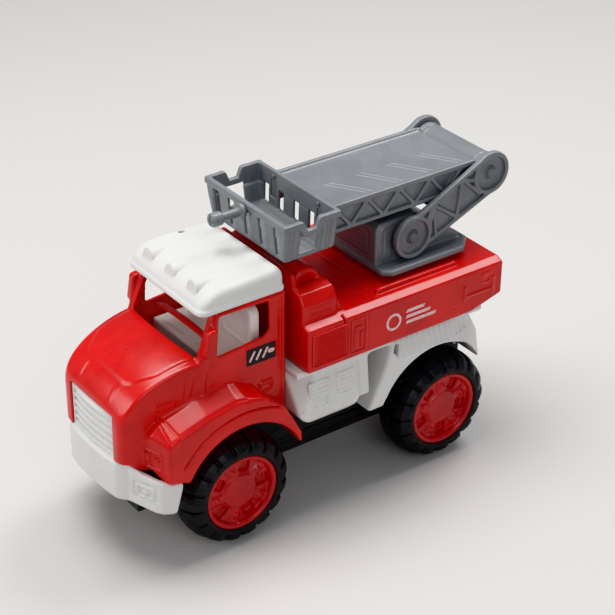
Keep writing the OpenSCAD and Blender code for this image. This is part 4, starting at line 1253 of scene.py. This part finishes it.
def make_basket(mats):
    """Rescue basket: slatted tapering walls, a heavy top rail that dips at the gates."""
    low, high = node_box("basket")
    front, rear, half = -28.6, 6.5, 36.4
    bottom, top = low[2], high[2]
    field = Field((0, low[1], low[2]), (half, high[1], high[2]), FINE_GRID,
                  mirrored=True)

    def walls(inset, z_floor):
        def fn(x, y, z):
            t = np.clip((z - bottom) / (top - bottom), 0, 1)
            side = np.abs(x) - (31.6 + 3.9 * t) + inset
            nose = (front + 3.3 - 2.5 * t) + inset - y
            tail = y - rear + 0.5 * (1 - t) + inset
            ring = smooth_max(smooth_max(side, nose, 1.6), tail, 1.6)
            return np.maximum(smooth_max(ring, z_floor - z, 1.4), z - top + 1)
        return Shape(fn, (0, front, bottom), (half, rear, top))
    field.add(walls(0, bottom + 0.1))
    outer = rect(-half + 0.1, front + 0.1, half - 0.1, rear + 0.5, 1.2)
    field.add(along_z(outer, top - 3.9, top - 0.15, 0.6), k=0.4)
    inside = along_z(rect(-half + 3.3, front + 3.3, half - 3.3, rear - 2.0, 0.8), 160, top + 2)
    field.cut(walls(2.0, bottom + 2.1) | inside, k=0.4)
    # upright gaps between broad slats, deeper set below the heavy rail
    for x in (0, 13.4, 26.8):
        field.cut(along_y(rect(x - 2.5, bottom + 2.4, x + 2.5, top - 4.6, 0.5), front - 2, front + 6.5),
                  k=0.4)
        field.cut(along_y(rect(x - 2.3, bottom + 2.6, x + 2.3, top - 10.0, 0.5), rear - 4.2, rear + 3), k=0.4)
    # gate: the rail dips and, under it, the flank is open between two broad posts
    dip = poly([(-17.4, top + 3), (-15.4, top - 6.4), (-7.2, top - 6.4), (-5.2, top + 3)], 0.6)
    field.cut(along_x(dip, 26, 40), k=0.4)
    field.cut(along_x(rect(-16.6, bottom + 3.6, -6.0, top - 8, 0.6), 26, 40), k=0.4)
    path = [(-19.2, top - 1.9), (-17.4, top - 1.9), (-15.3, top - 7.4), (-7.3, top - 7.4), (-5.2, top - 1.9),
            (-3.4, top - 1.9)]
    field.add(along_x(line(path, 3.5), 32.9, half - 0.1, 0.6), k=0.4)
    for y0, y1 in ((-27.4, -24.2), (-21.6, -18.4), (-4.0, -0.8), (1.6, 4.8)):
        post = along_x(rect(y0, bottom + 1.0, y1, top - 3, 0.5), 30, half - 0.15, 0.4)
        field.add(post & walls(-0.8, bottom + 1.0), k=0.3)
    field.cut(walls(2.0, bottom + 2.1) | inside, k=0.4)
    # floor grip lines
    for y in np.arange(-22, 4, 4.2):
        field.add(along_z(line([(0, y), (27, y)], 0.8), bottom + 1.8, bottom + 2.5, 0.2), k=0.2)
    field.cut(box((BOOM_HALF - 8.02, 2, 154.98), (BOOM_HALF - 2.98, 14, 164.62)))
    field.cut(along_y(disc(0, 165.5, 1.98), front - 4, front + 8))
    place(field.mesh("Basket", 1), "Basket", "boom", mats["grey"], "grey_plastic", "basket")


def make_nozzle(mats):
    """Water cannon: collar, slim barrel, thick slotted tip."""
    low, high = node_box("water_nozzle")
    tip, root = low[1], high[1]
    field = Field(low, high, 0.3)
    z = 165.5
    field.add(along_y(disc(0, z, 2), -31, root))
    field.add(along_y(disc(0, z, 4.3), -31.2, -28.7, 0.6))
    field.add(along_y(disc(0, z, 2.4), tip + 2, -29, 0.3), k=1.2)
    field.add(along_y(disc(0, z, 3.8), tip + 0.05, tip + 6.8, 1.4), k=0.7)
    for slot in (rect(-3, z - 0.5, 3, z + 0.5), rect(-0.5, z - 3, 0.5, z + 3)):
        field.cut(along_y(slot, tip - 1, tip + 0.9), k=0.3)
    place(field.mesh("Water_nozzle", 1), "Water_nozzle", "boom", mats["grey"], "grey_plastic", "water_nozzle")


# ---------------------------------------------------------------- CAD nodes that keep their own mesh

KEPT = {
    "chassis_pan": ("black", 0.5), "axle_keepers": ("black", 0.3), "chassis_screws": ("steel", 0.12),
    "side_stickers": ("print", 0.03), "turntable_washer": ("steel", 0.12), "turntable_screw": ("steel", 0.12),
    "front_axle": ("steel", 0.3), "rear_axle": ("steel", 0.3), "arm_pins": ("dark_grey", 0.25),
    "elbow_pins": ("dark_grey", 0.25), "basket_pins": ("dark_grey", 0.25),
}


def make_door_plates(mats):
    """A thin dark film with rounded corners on each door and three plain slanted strokes printed on it."""
    low, high = node_box("door_plates")
    film = rect(low[1] + 0.1, low[2] + 0.1, high[1] - 0.1, high[2] - 0.1, 1.0)
    strokes = [line([(y, 100.9), (y + 2.6, 105.3)], 1.5) for y in (-49.2, -45.2, -41.2)]
    strokes.append(line([(-37.0, 103.1), (-35.4, 103.1)], 2.6))
    marks = strokes[0] | strokes[1] | strokes[2] | strokes[3]
    skin = high[0]
    for outline, name, mat, slot, inner, outer in (
        (film, "Door_plate", "film", "black_sticker", 0.5, 0.06),
        (marks, "Door_mark", "print", "pale_print", 0.3, 0.01),
    ):
        for side, end in ((1, "left"), (-1, "right")):
            x0, x1 = sorted((side * (skin - inner), side * (skin - outer)))
            field = Field((x0, low[1], low[2]), (x1, high[1], high[2]), 0.2)
            field.add(along_x(outline, x0, x1))
            place(field.mesh(f"{name}_{end}", 0), f"{name}_{end}", "truck", mats[mat], slot, "door_plates")


def finish_kept_nodes(mats):
    """Materials and softened edges for the plain parts, whose CAD mesh is already their shape."""
    for name, (mat, radius) in KEPT.items():
        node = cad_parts[name]
        node.data.materials.clear()
        node.data.materials.append(mats[mat])
        weld = node.modifiers.new("Weld", "WELD")
        weld.merge_threshold = 0.00001
        bevel = node.modifiers.new("Soft edges", "BEVEL")
        bevel.width = radius * MM
        bevel.segments = 2
        bevel.limit_method = "ANGLE"
        bevel.angle_limit = math.radians(40)
        bevel.harden_normals = False


def main():
    mats = make_materials()
    make_camera()
    make_floor()
    make_lights()
    for make in (make_wheels, make_cab, make_roof, make_seat, make_bumper, make_underframe, make_rear_body,
                 make_turntable, make_lower_arm, make_boom, make_basket, make_nozzle, make_door_plates,
                 finish_kept_nodes):
        make(mats)


main()
